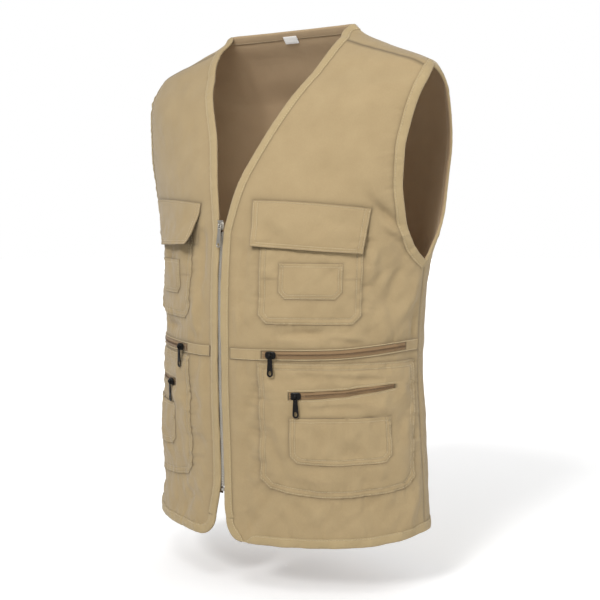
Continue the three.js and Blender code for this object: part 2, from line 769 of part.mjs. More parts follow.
// The small pocket steps across like the cloth under it.
function smallPocketLayer(side) {
  const inside = lowerColumns.filter((across) => across > smallPocket.inner + 5 && across < smallPocket.outer - 5);
  const columns = [smallPocket.inner, ...inside, smallPocket.outer];
  const levels = [smallPocket.top, lowerPocketLevels[0], lowerPocketLevels[1]];
  return pocket(smallPocket, side, smallPocketLift, smallPocketLift, columns, levels);
}

// Flap sewn along its upper edge; it stands off more and more toward the lower edge.
function chestFlap(side) {
  const shape = flaps.find((row) => row.side === side);
  const columns = 7;
  const rows = 4;
  const grid = steps(0, 1, rows).map((down) => steps(0, 1, columns).map((t) => {
    const innerAcross = flapInnerTop + (flapInnerBottom - flapInnerTop) * down;
    const outerAcross = flapOuterTop + (flapOuterBottom - flapOuterTop) * down;
    const top = shape.innerTop + (shape.outerTop - shape.innerTop) * t;
    const bottom = shape.innerBottom + (shape.outerBottom - shape.innerBottom) * t;
    const z = top + (bottom - top) * down;
    const fade = (1 - t) ** 2;
    const rise = shape.outerRise + (shape.innerRise - shape.outerRise) * fade;
    const curl = shape.innerRise > 10 ? down ** 2 * fade + down * (1 - fade) : down;
    return {
      round: roundFor(innerAcross + (outerAcross - innerAcross) * t, z),
      z,
      side,
      lift: layerLift + rise * curl,
    };
  }));
  return layer([grid], flapThickness);
}

// Level of the waist seam for a length across the cloth.
function waistAt(across) {
  return waistLevel(roundFor(across, -410));
}

// Strip over the waist seam with the long window of its zip.
function waistStrip(side) {
  const before = [stripInner, (stripInner + waistWindow.from) / 2];
  const window = steps(waistWindow.from, waistWindow.to, 9);
  const columns = [...before, ...window, stripOuter];
  const offsets = [stripHalf, waistWindow.half, -waistWindow.half, -stripHalf];
  const grid = offsets.map((offset) => columns.map((across) => {
    const z = waistAt(across) + offset;
    return { round: roundFor(across, z), z, side, lift: layerLift };
  }));
  const first = before.length;
  const last = first + window.length - 1;
  return layer([grid], layerThickness, (r, c) => r === 1 && c >= first && c < last);
}

const lowerZipLevel = smoothCurve(lowerZipLine, "across", "z");
const lowerZipHalf = smoothCurve(lowerZipLine, "across", "half");
const lowerColumns = steps(lowerZipLine[0].across, lowerZipLine[lowerZipLine.length - 1].across, 7);

// Lower pocket: sewn all round, with the bent window of its own zip.
function lowerPocketLayer(side) {
  const inside = lowerColumns;
  const shape = lowerPocket;
  const cornerLevel = shape.bottom + shape.cut;
  const belowZip = [...lowerPocketLevels, cornerLevel];
  const sagAt = (t) => shape.sag * 4 * t * (1 - t);
  const columns = [shape.inner, shape.inner + 14, ...inside, shape.outer - 14, shape.outer];
  const rowLevels = [
    () => shape.top,
    () => shape.top - 12,
    (across) => lowerZipLevel(across) + lowerZipHalf(across),
    (across) => lowerZipLevel(across) - lowerZipHalf(across),
    ...belowZip.map((z) => (across, t) => z - sagAt(t) * ((shape.top - z) / (shape.top - shape.bottom))),
    (across, t) => shape.bottom - sagAt(t),
  ];
  const grid = rowLevels.map((levelFor, r) => columns.map((column, c) => {
    const isBottom = r === rowLevels.length - 1;
    const down = Math.max(0, (r - 3) / (rowLevels.length - 4));
    const outerEdge = shape.outer + (lowerPocketBottomOuter - shape.outer) * down;
    const spread = (outerEdge - shape.inner) / (shape.outer - shape.inner);
    let across = r < 4 ? column : shape.inner + (column - shape.inner) * spread;
    const t = (column - shape.inner) / (shape.outer - shape.inner);
    if (isBottom) across = shape.inner + shape.cut + (outerEdge - shape.inner - 2 * shape.cut) * t;
    const z = levelFor(across, t);
    const isSewn = r === 0 || isBottom || c === 0 || c === columns.length - 1;
    return { round: roundFor(across, z), z, side, lift: isSewn ? layerLift : lowerPuff };
  }));
  const from = 2;
  const to = from + inside.length - 1;
  return layer([grid], layerThickness, (r, c) => r === 2 && c >= from && c < to);
}

// Body swept along a list of places. The profile is given as [up, out] pairs for each place.
function sweep(places, profileAt) {
  const builder = meshBuilder();
  const rings = places.map((place) => {
    const frame = bodyFrame(place.round, place.z, place.side);
    const base = clothPoint(place, 0);
    return profileAt(place).map(([up, out]) => builder.corner(
      base.clone().addScaledVector(frame.upwards, up).addScaledVector(frame.out, out),
    ));
  });
  for (let k = 0; k + 1 < rings.length; k += 1) {
    rings[k].forEach((_, i) => {
      const j = (i + 1) % rings[k].length;
      builder.quad(rings[k][i], rings[k][j], rings[k + 1][j], rings[k + 1][i]);
    });
  }
  const outline = profileAt(places[0]).map(([up, out]) => new THREE.Vector2(up, out));
  for (const [a, b, c] of THREE.ShapeUtils.triangulateShape(outline, [])) {
    const first = rings[0];
    const last = rings[rings.length - 1];
    builder.triangle(first[a], first[c], first[b]);
    builder.triangle(last[a], last[b], last[c]);
  }
  return builder.geometry();
}

// Tape with its closed coil down the middle.
function pocketZip(places, tapeHalf) {
  const foot = layerLift;
  const face = layerLift + zipTapeThickness;
  const crest = face + coilHeight;
  const profile = [
    [-tapeHalf, foot], [tapeHalf, foot], [tapeHalf, face], [coilHalf, face],
    [coilTopHalf, crest], [-coilTopHalf, crest], [-coilHalf, face], [-tapeHalf, face],
  ];
  return sweep(places, () => profile);
}

function waistZip(side) {
  const places = steps(waistCoilStart, waistWindow.to - zipFit, 9).map((across) => {
    const z = waistAt(across);
    return { round: roundFor(across, z), z, side };
  });
  return pocketZip(places, waistWindow.half - zipFit);
}

function lowerZip(side) {
  const first = lowerColumns[0] + 1;
  const last = lowerColumns[lowerColumns.length - 1] - 3;
  const places = [first, ...lowerColumns.slice(1, -1), last].map((across) => {
    const z = lowerZipLevel(across);
    return { round: roundFor(across, z), z, side };
  });
  return pocketZip(places, hiddenTapeHalf);
}

// Levels of the front cloth rows between two heights, so that layers follow the same facets.
function frontLevelsBetween(top, bottom) {
  const rows = [...upperFrontRows.map((row) => row.inner), waistLevel(0), ...lowerFrontLevels];
  return [top, ...rows.filter((z) => z < top - 5 && z > bottom + 5), bottom];
}

function frontZipTape(side) {
  const grid = frontLevelsBetween(frontTape.top, frontTape.bottom).map((z) => (
    [frontTape.inner, frontTape.outer].map((across) => ({
      round: roundFor(across, z), z, side, lift: frontTape.lift,
    }))
  ));
  return layer([grid], frontTape.thickness);
}

// Closed chain of the front zip. It runs down the centre front between the bands.
function frontChain() {
  const bevel = 0.8;
  const { inner, outer } = chainDepth;
  const places = frontLevelsBetween(chainTop, chainBottom).map((z) => ({ round: 0, z, side: 1 }));
  const builder = meshBuilder();
  const profile = [
    [-chainHalf, inner], [-chainHalf, outer - bevel], [-chainHalf + bevel, outer],
    [chainHalf - bevel, outer], [chainHalf, outer - bevel], [chainHalf, inner],
  ];
  const rings = places.map((place) => {
    const base = bodyPoint(place.round, place.z, place.side);
    return profile.map(([sideways, out]) => builder.corner(
      new THREE.Vector3(base.x + sideways, base.y - out, base.z),
    ));
  });
  for (let k = 0; k + 1 < rings.length; k += 1) {
    rings[k].forEach((_, i) => {
      const j = (i + 1) % rings[k].length;
      builder.quad(rings[k][i], rings[k][j], rings[k + 1][j], rings[k + 1][i]);
    });
  }
  for (let i = 1; i + 1 < profile.length; i += 1) {
    const last = rings[rings.length - 1];
    builder.triangle(rings[0][0], rings[0][i + 1], rings[0][i]);
    builder.triangle(last[0], last[i], last[i + 1]);
  }
  return builder.geometry();
}

// Small block that closes the lower end of the front chain.
function bottomStop() {
  const top = chainBottom - stopSize.gap;
  const depth = chainDepth.outer - chainDepth.inner;
  const base = bodyPoint(0, top - stopSize.height / 2, 1);
  const block = new THREE.BoxGeometry(2 * chainHalf, depth, stopSize.height);
  block.translate(0, base.y - (chainDepth.outer + chainDepth.inner) / 2, base.z);
  return block;
}

function toManifold(geometry) {
  const builder = meshBuilder();
  const position = geometry.getAttribute("position");
  const index = geometry.index ? Array.from(geometry.index.array) : [...Array(position.count).keys()];
  const point = (i) => new THREE.Vector3().fromBufferAttribute(position, i);
  for (let i = 0; i < index.length; i += 3) {
    builder.triangle(...[0, 1, 2].map((j) => builder.corner(point(index[i + j]))));
  }
  const merged = builder.geometry();
  return new wasm.Manifold(new wasm.Mesh({
    numProp: 3,
    vertProperties: new Float32Array(merged.getAttribute("position").array),
    triVerts: new Uint32Array(merged.index.array),
  }));
}

function fromManifold(solid) {
  const mesh = solid.getMesh();
  const geometry = new THREE.BufferGeometry();
  geometry.setAttribute("position", new THREE.Float32BufferAttribute(Array.from(mesh.vertProperties), 3));
  geometry.setIndex(Array.from(mesh.triVerts));
  geometry.computeVertexNormals();
  return geometry;
}

function plate(outline, holes, thickness) {
  const shape = new THREE.Shape(outline.map(([x, y]) => new THREE.Vector2(x, y)));
  for (const hole of holes) shape.holes.push(new THREE.Path(hole.map(([x, y]) => new THREE.Vector2(x, y))));
  return new THREE.ExtrudeGeometry(shape, { depth: thickness, bevelEnabled: false });
}

// Points on an arc, angles in degrees.
function arc(centreX, centreY, radiusX, radiusY, from, to, count) {
  return steps(from, to, count).map((degrees) => {
    const angle = THREE.MathUtils.degToRad(degrees);
    return [centreX + radiusX * Math.cos(angle), centreY + radiusY * Math.sin(angle)];
  });
}

// Slider body with the arch that holds the pull tab. Its own axes are sideways, up and out.
function sliderBody(size) {
  const w = size.width / 2;
  const h = size.height / 2;
  const n = size.nose;
  const outline = [
    [-w, -h + n], [-w + n, -h], [w - n, -h], [w, -h + n], [w, h - n], [w - n, h], [-w + n, h], [-w, h - n],
  ];
  const body = plate(outline, [], size.thickness);
  const outerArc = arc(0, arch.legs, arch.outer, arch.outer, 0, 180, arch.steps);
  const innerArc = arc(0, arch.legs, arch.inner, arch.inner, 180, 0, arch.steps);
  const foot = -size.thickness / 2;
  const ring = plate([
    [arch.outer, foot], ...outerArc, [-arch.outer, foot],
    [-arch.inner, foot], ...innerArc, [arch.inner, foot],
  ], [], arch.width);
  ring.translate(0, 0, -arch.width / 2);
  // The arch is drawn in the up and out plane and is turned to run sideways.
  const turn = new THREE.Matrix4().makeBasis(
    new THREE.Vector3(0, 1, 0), new THREE.Vector3(0, 0, 1), new THREE.Vector3(1, 0, 0),
  );
  ring.applyMatrix4(turn);
  ring.translate(0, 0, size.thickness);
  return fromManifold(toManifold(body).add(toManifold(ring)));
}

// Pull tab that hangs from its hinge pin at the origin of its own axes.
function pullTab(size) {
  const top = tabEye.half + tabEye.wall;
  const lowCentre = -size.length + size.half;
  const outline = [
    [-top, tabEye.bar], [-top, tabEye.bottom - tabEye.wall],
    ...arc(0, lowCentre, size.half, size.half, 180, 360, 6),
    [top, tabEye.bottom - tabEye.wall], [top, tabEye.bar],
  ];
  const eye = [
    [-tabEye.half, -tabEye.bar], [tabEye.half, -tabEye.bar],
    [tabEye.half, tabEye.bottom], [-tabEye.half, tabEye.bottom],
  ];
  const hole = arc(0, lowCentre + size.holeHigh / 3, size.holeHalf, size.holeHigh, 0, 315, 7);
  const tab = plate(outline, [eye, hole], tabThickness);
  tab.translate(0, 0, -tabThickness / 2);
  tab.rotateX(THREE.MathUtils.degToRad(size.rest));
  return tab;
}

// Moves a geometry from its own axes onto the cloth.
function onCloth(geometry, place, height) {
  const frame = bodyFrame(place.round, place.z, place.side);
  const sideways = new THREE.Vector3().crossVectors(frame.upwards, frame.out).normalize();
  const up = new THREE.Vector3().crossVectors(frame.out, sideways);
  const matrix = new THREE.Matrix4().makeBasis(sideways, up, frame.out);
  matrix.setPosition(clothPoint(place, height));
  const moved = geometry.clone().applyMatrix4(matrix);
  return fromManifold(toManifold(moved));
}

function sliderPlaces(side) {
  const waist = waistAt(waistSliderAcross);
  const lower = lowerZipLevel(lowerSliderAcross);
  return {
    waist: { round: roundFor(waistSliderAcross, waist), z: waist, side },
    lower: { round: roundFor(lowerSliderAcross, lower), z: lower, side },
  };
}

function neckLabel() {
  const backLength = outlineAt(label.top).back.total;
  const grid = (side) => steps(label.top, label.bottom, 1).map((z) => [0, label.half].map((run) => ({
    round: 2 - run / backLength, z, side, lift: label.lift,
  })));
  return layer([grid(1), grid(-1)], label.thickness);
}

const group = new THREE.Group();

function add(name, geometry, finish) {
  const mesh = new THREE.Mesh(geometry, new THREE.MeshStandardMaterial(finishes[finish]));
  mesh.name = name;
  group.add(mesh);
}

add("back_panel", layer([clearSideSeam(backGrid(1), 1), clearSideSeam(backGrid(-1), 1)], 2 * clothHalf), "cloth");
add("front_and_neck_band", frontAndNeckBand(), "band");
add("hem_band", hemBand(), "band");
add("neck_label", neckLabel(), "labelCloth");
add("front_zip_chain", frontChain(), "silverMetal");
add("front_zip_bottom_stop", bottomStop(), "silverMetal");

const centreFront = { round: 0, z: frontSlider.z, side: 1 };
const hingeHeight = frontSlider.bottom + frontSlider.thickness + arch.legs;
add("front_zip_slider", onCloth(sliderBody(frontSlider), centreFront, frontSlider.bottom), "silverMetal");
add("front_zip_pull", onCloth(pullTab(frontTab), centreFront, hingeHeight), "silverMetal");

const pocketSliderFoot = layerLift + zipTapeThickness + coilHeight + pocketSlider.clearOverCoil;
const pocketHinge = pocketSliderFoot + pocketSlider.thickness + arch.legs;
for (const [side, word] of [[1, "left"], [-1, "right"]]) {
  const places = sliderPlaces(side);
  add(`upper_front_${word}`, layer([clearSideSeam(upperFrontGrid(side), -1)], 2 * clothHalf), "cloth");
  add(`lower_front_${word}`, layer([clearSideSeam(lowerFrontGrid(side), -1)], 2 * clothHalf), "cloth");
  add(`armhole_band_${word}`, armholeBand(side), "band");
  add(`waist_strip_${word}`, waistStrip(side), "cloth");
  add(`waist_zip_${word}`, waistZip(side), "zipTape");
  add(`waist_zip_slider_${word}`, onCloth(sliderBody(pocketSlider), places.waist, pocketSliderFoot), "blackMetal");
  add(`waist_zip_pull_${word}`, onCloth(pullTab(pocketTab), places.waist, pocketHinge), "blackMetal");
  add(`chest_pocket_${word}`, chestPocketLayer(side), "cloth");
  add(`card_pocket_${word}`, cardPocketLayer(side), "cloth");
  add(`chest_flap_${word}`, chestFlap(side), "cloth");
  add(`lower_pocket_${word}`, lowerPocketLayer(side), "cloth");
  add(`lower_zip_${word}`, lowerZip(side), "zipTape");
  add(`lower_zip_slider_${word}`, onCloth(sliderBody(pocketSlider), places.lower, pocketSliderFoot), "blackMetal");
  add(`lower_zip_pull_${word}`, onCloth(pullTab(pocketTab), places.lower, pocketHinge), "blackMetal");
  add(`small_pocket_${word}`, smallPocketLayer(side), "cloth");
  add(`front_zip_tape_${word}`, frontZipTape(side), "zipTape");
}

export default group;
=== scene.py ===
import math

import bpy
import numpy as np
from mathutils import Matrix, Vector


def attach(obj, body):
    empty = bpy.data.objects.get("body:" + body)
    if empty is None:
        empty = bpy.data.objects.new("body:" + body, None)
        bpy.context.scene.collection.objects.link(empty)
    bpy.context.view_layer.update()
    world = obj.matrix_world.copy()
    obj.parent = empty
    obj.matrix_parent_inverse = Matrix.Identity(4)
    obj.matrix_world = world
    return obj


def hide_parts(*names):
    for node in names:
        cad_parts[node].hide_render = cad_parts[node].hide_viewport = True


# Looks of a utility work vest. Shapes are worked out in millimetres in the frame of the packed
# model: up is +Z, the front faces -Y, the wearer's left is +X. Cloth is placed by a level z and by
# "round": 0 centre front, 1 side seam, 2 centre back. "Across" is the length along the cloth from
# the centre front, or from the centre back on the back panel.

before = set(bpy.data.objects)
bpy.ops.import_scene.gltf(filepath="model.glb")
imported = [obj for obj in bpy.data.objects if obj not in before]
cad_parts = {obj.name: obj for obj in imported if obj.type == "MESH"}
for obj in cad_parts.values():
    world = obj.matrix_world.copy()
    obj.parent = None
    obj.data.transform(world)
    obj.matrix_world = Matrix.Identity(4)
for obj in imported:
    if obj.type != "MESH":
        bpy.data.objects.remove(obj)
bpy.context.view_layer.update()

MM = 0.001
BODY = "vest"
LEFT = 1
RIGHT = -1
SIDES = {LEFT: "left", RIGHT: "right"}

# Camera at the photograph's viewing angle.
CAMERA_AT = (0.9772, -1.2464, -0.2284)
CAMERA_LENS = 71.62
CAMERA_TURN = math.radians(37.427)
CAMERA_PITCH = math.radians(2.717)
CAMERA_SHIFT_Y = -40 / 600
SENSOR_WIDTH = 36

# Outline of the body at each level: a front half and a back half that meet at the sides.
BODY_LEVELS = np.array([
    # z, half width, middle, front depth, back depth, front power, back power
    [-680, 209, 14, 146, 101, 1.8, 1.95],
    [-560, 199, 22, 151, 100, 1.92, 1.95],
    [-430, 190, 24, 158, 100, 1.95, 1.95],
    [-300, 204, 17, 149, 103, 1.7, 2],
    [-215, 224, 17, 138, 106, 1.75, 2.2],
    [-150, 233, 14, 110, 104, 2.05, 2.4],
    [-90, 230, 8, 77, 86, 2.4, 2.5],
    [-59, 220, 6, 54, 62, 2.15, 2.5],
    [-30, 153, 10, 42, 34, 2.05, 2.3],
    [-15, 119, 10, 26, 18, 2, 2.1],
    [0, 100, 10, 4, 6, 2, 2],
])

# Edges of the cloth, as in the model: rows of level and place.
ARMPIT = -299
NECKLINE = [(-262, 4.5), (-240, 9), (-202, 19), (-172, 30), (-141, 43), (-105, 62), (-70, 81), (-36, 95),
            (-13, 100.5), (-1.5, 101.5)]
ARMHOLE_FRONT = [(ARMPIT, 1), (-291, 0.955), (-277, 0.905), (-244, 0.838), (-200, 0.798), (-165, 0.791),
                 (-131, 0.818), (-94, 0.878), (-72, 0.95), (-61, 1)]
ARMHOLE_BACK = [(ARMPIT, 1), (-290, 1.04), (-272, 1.1), (-251, 1.15), (-228, 1.185), (-204, 1.205),
                (-181, 1.213), (-158, 1.215), (-136, 1.205), (-116, 1.18), (-98, 1.145), (-82, 1.1),
                (-68, 1.045), (-61, 1)]
FRONT_EDGE = {
    LEFT: [(-640, 9), (-621, 7.5), (-602, 5), (-585, 4.5), (-560, 4), (-262, 4)],
    RIGHT: [(-640, 14), (-621, 12.5), (-602, 8.5), (-585, 5), (-560, 4), (-262, 4)],
}
HEMLINE = [(0, -647), (0.4, -646.5), (0.73, -645), (0.84, -642), (0.93, -639), (1, -636.5), (1.3, -638),
           (2, -641)]
WAISTLINE = [(0, -413.3), (0.35, -412), (0.56, -410.8), (0.72, -407.6), (0.91, -404), (1, -403.5)]
CORNER_START = -621
CORNER_RADIUS = 26

# Rows of the cloth panels: level at the inner edge and at the outer edge.
UPPER_FRONT = [(-21, -67), (-38, -84), (-59, -106), (-82, -128), (-106, -150), (-130, -173), (-154, -196),
               (-178, -219), (-202, -242), (-226, -264), (-250, -283), (-276, ARMPIT), (-304, -322),
               (-332, -342), (-360, -362), (-387, -383)]
SHOULDER = [(0.84, -9, 1, -61), (0.98, -2.2, 1.03, -65), (1.1, -1, 1.06, -72), (1.25, -1, 1.09, -79),
            (1.42, -1, 1.122, -89), (1.6, -1, 1.158, -103), (1.8, -1, 1.188, -120), (2, -1, 1.205, -138)]
BACK = [(-32, -158), (-64, -181), (-97, -204), (-131, -228), (-166, -251), (-201, -272), (-236, -290),
        (-270, ARMPIT), (-303, -322), (-336, -350), (-371, -378), (-408, -408), (-443, -440), (-478, -475),
        (-513, -510), (-548, -545), (-583, -577), (-610, -603)]

# Cloth and stitches, and the heights of single layers over the middle of the cloth.
CLOTH_HALF = 0.75
BAND_WIDTH = 11
LAYER_FOOT = 0.85
LAYER_FACE = 1.9
STITCH_PITCH = 3.4
STITCH_LENGTH = 2.5
STITCH_RADIUS = 0.31
STITCH_SIDES = 5
STITCH_LIFT = 0.12
# One stitch: share of its length, then its lift and width in radii.
STITCH_FORM = ((-0.5, -0.5, 0.55), (-0.34, 0.55, 0.95), (0, 0.95, 1), (0.34, 0.55, 0.95), (0.5, -0.5, 0.55))

# Pockets: levels, both edges across, cut of the corners, sag of the lower edge and stitch rows. The
# chest pocket has a pressed fold, and the small pocket has creases at an across with a depth.
CHEST = {"top": -262, "bottom": -375.5, "inner": 56, "outer": 184, "cut": 11, "sag": 0, "rows": (2.0, 8.0)}
CARD = {"top": -300.5, "bottom": -345, "inner": 81, "outer": 159.5, "cut": 9, "sag": 0, "rows": (1.8, 5.4)}
LOWER = {"top": -421.5, "bottom": -578, "inner": 56, "outer": 266, "cut": 13, "sag": 8.5, "rows": (2.0, 8.0),
         "outer_low": 255}
SMALL = {"top": -488, "bottom": -544, "inner": 95.5, "outer": 221, "cut": 9, "sag": 2.5, "rows": (2.0, 7.0)}
CHEST_FOLD = -320.6
CARD_HEM_AT = 4.5
SMALL_HEM_AT = 5.0
SMALL_CREASES = ((143, 1.7), (163, -1.9), (190, 1.4), (121, 1.1), (206, -1.2))
# Distances from a sewn edge where the grid of a layer is finer.
NEAR_EDGE = (0, 0.4, 1.0, 1.5, 2.0, 2.5, 3.4, 5.2, 7.0, 7.5, 8.0, 8.5, 9.4)
# Levels of the big pocket above its zip window, from the top down to the window.
ABOVE_WINDOW = (0, 0.4, 1, 1.5, 2, 2.5, 3.4, 5.2, 7, 7.5, 8, 8.5, 9.4, 12, 15, 18, 21, 24, 26.5, 29, 31,
                32.2, 33, 33.6, 34.4, 35)
BELOW_WINDOW = 112

# Waist strip with its window, and its rows above the middle line.
WAIST_WINDOW = (62, 247)
WAIST_WINDOW_HALF = 4.9
STRIP = {"inner": 17, "outer": 271, "half": 7}
STRIP_ROWS = (7, 6.8, 6.4, 5.9, 5.4, 5.1, WAIST_WINDOW_HALF, 3.6, 1.8)
STRIP_STITCH_AT = 5.9

# Window of the lower zip: across, level and half height.
ZIP_LINE = [(96, -461.2, 4.7), (112, -461, 4.7), (154, -459, 4.3), (184, -455.8, 3.9),
            (212, -453.2, 3.2), (229, -452, 2.4)]
WINDOW_STITCH_AT = 2.2

# Chest flaps: levels of both edges at the inner and outer corner, and rise of the free edge.
FLAPS = {
    LEFT: {"top": (-224.5, -234.5), "bottom": (-281, -289), "rise": (6.5, 5)},
    RIGHT: {"top": (-228.5, -223), "bottom": (-281, -284), "rise": (19, 4.5)},
}
FLAP_TOP = (42.5, 191.5)
FLAP_BOTTOM = (46, 182)
FLAP_WIDTH = 142
FLAP_LENGTH = 57

# Bindings: a soft U over the raw edge, held by one row of stitches.
BAND_PROFILE = [
    # distance in from the edge, height; the outer face from the inset side to the edge, then the inside
    (11.0, 0.95), (10.7, 1.5), (10.2, 1.85), (9.5, 1.75), (9.1, 1.45), (8.7, 1.75), (7.6, 2.1), (5.5, 2.25),
    (3.2, 2.2), (1.2, 2.1), (-0.2, 1.8), (-1.0, 1.1), (-1.35, 0.2), (-1.2, -0.8), (-0.4, -1.7),
    (1.2, -2.1), (5.5, -2.2), (9.5, -2.0), (10.8, -1.6), (11.0, -0.95), (6.0, -0.9), (0.4, -0.6), (0.4, 0.6),
    (6.0, 0.9),
]
BAND_STITCH_AT = 9.1
BAND_GROOVE = 4
BAND_INNER_FACES = (13, 18)
BAND_STITCH_HEIGHT = 1.5
BAND_STITCH_DROP = 3.4

# Zips: half heights of the tapes, tape behind the front edges, chain of teeth, and coil. The coil starts
# a few samples along its tape, behind the slider.
WAIST_TAPE_HALF = 4.5
LOWER_TAPE_HALF = 4.4
FRONT_TAPE = {"across": (2.35, 15), "levels": (-256, -592), "face": -3.0, "back": -4.05}
CHAIN_TOP = -263
CHAIN_BOTTOM = -584
TOOTH_PITCH = 2.1
COIL_PITCH = 1.1
COIL_AFTER = 14
# Tape with its coil: share of the half height up, then height over its foot.
COIL_PROFILE = [(-1.0, 0.0), (1.0, 0.0), (1.0, 0.7), (0.72, 0.86), (0.5, 1.0), (0.36, 1.5), (0.22, 1.75),
                (0.1, 1.6), (0.05, 0.9), (-0.05, 0.9), (-0.1, 1.6), (-0.22, 1.75), (-0.36, 1.5), (-0.5, 1.0),
                (-0.72, 0.86), (-1.0, 0.7)]

# Sliders and pulls. A pull has the length and half widths of its outline, then centre and half sizes.
POCKET_FOOT = 3.85
POCKET_SLIDER = {"half_width": 6.6, "half_height": 4.6, "thick": 2.6}
FRONT_FOOT = 2.5
FRONT_SLIDER = {"half_width": 4.5, "half_height": 6.0, "thick": 2.6, "z": -256}
ARCH = {"radius": 2.1, "legs": 0.9, "thick": 0.6, "wide": 1.2}
ARCH_SIDES = 12
POCKET_TAB = {"outline": (26.5, 3.9, 2.9, 2.7), "hole": (-21.6, 1.7, 2.9), "rib": (-11.6, 1.5, 3.4)}
FRONT_TAB = {"outline": (28, 3.6, 2.2, 2.6), "hole": (-24.4, 1.9, 2.1), "rib": (-12.5, 0.9, 3.6)}
TAB_EYE = (-2.0, 1.5, 2.1)
TAB_HALF = 0.6
WAIST_SLIDER_AT = 74
LOWER_SLIDER_AT = 104.5
REST_TILT = 1.5

# Blank label: run from the centre back, levels, and heights of both faces.
LABEL_RUN = (-19, 3)
LABEL_LEVELS = (-5.0, -13.5)
LABEL_OUTER = -2.4
LABEL_INNER = -3.4

# Folds and dents: across, z, length, width, tilt from level in degrees, depth (negative is a valley).
FRONT_FOLDS = {
    LEFT: [
        (214, -254, 30, 13, -38, -4), (204, -335, 48, 15, 90, -3), (30, -345, 45, 12, 90, -1.6),
        (145, -390, 34, 13, 0, -2.2), (186, -520, 45, 14, 90, -2.2), (125, -613, 45, 18, 80, 2.2),
        (150, -150, 60, 26, 60, -2),
    ],
    RIGHT: [
        (30, -335, 60, 13, 90, -2.6), (205, -330, 48, 15, 90, -2.4), (120, -395, 34, 14, 0, -1.8),
        (120, -615, 45, 18, 95, 2),
    ],
}
BACK_FOLDS = [(-90, -330, 90, 28, 82, -3), (70, -420, 110, 28, 96, -3), (0, -150, 80, 36, 0, -2.5)]
FINE_FOLDS = {
    LEFT: [
        (208, -240, 20, 5, -42, -2.0), (222, -262, 20, 6, -30, 1.6), (232, -285, 22, 7, -50, -1.2),
        (196, -300, 26, 7, 84, 1.2), (226, -330, 30, 8, 70, -1.4), (248, -352, 30, 7, 60, 1.3),
        (214, -372, 26, 8, 100, 1.1), (120, -386, 26, 5, 4, -1.3), (170, -391, 22, 4, -8, 1.0),
        (92, -394, 22, 4, 6, 0.9), (262, -380, 20, 6, 80, -1.2), (36, -300, 34, 5, 88, -0.9),
        (28, -372, 26, 5, 92, 0.9), (30, -470, 40, 8, 90, 0.8), (36, -540, 44, 9, 86, -0.8),
        (276, -470, 50, 6, 92, -1.3), (60, -606, 34, 9, 60, -1.1), (200, -612, 40, 12, 110, -1.4),
        (255, -600, 30, 9, 70, 1.2), (160, -110, 60, 20, 20, 1.2), (120, -190, 40, 16, 10, -0.9),
        (196, -215, 26, 9, -64, 1.2),
    ],
    RIGHT: [
        (36, -300, 34, 5, 92, -1.1), (44, -368, 30, 6, 84, 1.0), (30, -470, 44, 8, 88, 0.9),
        (212, -262, 24, 6, -38, -1.8), (222, -340, 30, 8, 72, -1.3), (110, -388, 26, 5, 2, -1.2),
        (64, -606, 34, 9, 118, -1.0), (190, -612, 40, 12, 70, -1.2), (160, -110, 60, 20, 20, 1.0),
        (20, -420, 40, 6, 90, -0.8),
    ],
}
FINE_BACK_FOLDS = [
    (-150, -260, 60, 12, -52, -1.6), (150, -265, 60, 12, 52, -1.6), (-120, -470, 90, 14, 84, 1.4),
    (110, -500, 90, 14, 98, 1.4), (20, -560, 80, 16, 88, -1.4), (-40, -240, 70, 14, 8, -1.2),
    (-170, -360, 50, 10, 76, 1.4), (175, -360, 50, 10, 104, 1.4), (40, -330, 60, 12, 60, 1.0),
]

# Soft folds of the big pockets, in columns like the folds of the cloth.
LOWER_POCKET_FOLDS = {
    LEFT: [
        (165, -435, 46, 5, -4, 1.5), (190, -443, 40, 5, -6, -1.8), (120, -440, 30, 6, 4, -1.2),
        (150, -477, 34, 5, 2, -1.9), (205, -476, 26, 6, -14, 1.4), (236, -500, 30, 7, 84, -1.8),
        (80, -500, 34, 7, 92, 1.5), (84, -545, 26, 6, 110, -1.6), (170, -560, 40, 7, 80, -1.5),
        (205, -560, 30, 8, 70, 1.6), (120, -562, 34, 6, -6, 1.2), (244, -455, 20, 6, 70, 1.3),
    ],
    RIGHT: [
        (140, -440, 46, 6, 3, -1.5), (90, -470, 34, 7, 96, 1.4), (150, -478, 34, 5, 0, -1.6),
        (84, -540, 30, 7, 80, -1.5), (190, -560, 40, 8, 100, 1.4), (236, -510, 34, 8, 92, -1.4),
    ],
}
POCKET_FOLD_SCALE = 1.5
POCKET_FULLNESS = 0.9

# Scale of the fine folds, and where the cloth lies calm.
FINE_SCALE = 3.1
WAIST_LEVEL = -410.0
WAIST_MIDDLE = -409
HEM_LEVEL = -640.0
SLIDER_SPOTS = ((WAIST_SLIDER_AT, -410), (LOWER_SLIDER_AT, -461))
SLIDER_CALM = 18
ZIP_CALM = 7
SIDE_CALM = 14
EDGE_CALM = 26
SHOULDER_CALM = {"front": -205, "back": -150}
# Waves of free cloth: height, lean, stretch, width and length of the cells, and step of the seed.
WAVE_SEEDS = {LEFT: 101, RIGHT: 201}
FRONT_SWELL = ((2.6, 0, 1, 46, 60, 0),)
FRONT_WAVES = ((1.9, 0.4, 1.2, 19, 22, 1), (1.05, -0.6, 0.9, 11, 15, 2), (0.3, 0.2, 1, 6, 8, 3))
BACK_WAVES = ((2.2, 0, 1, 55, 80, 301), (0.9, -0.3, 1, 20, 30, 302), (0.45, 0.5, 1, 11, 15, 304))

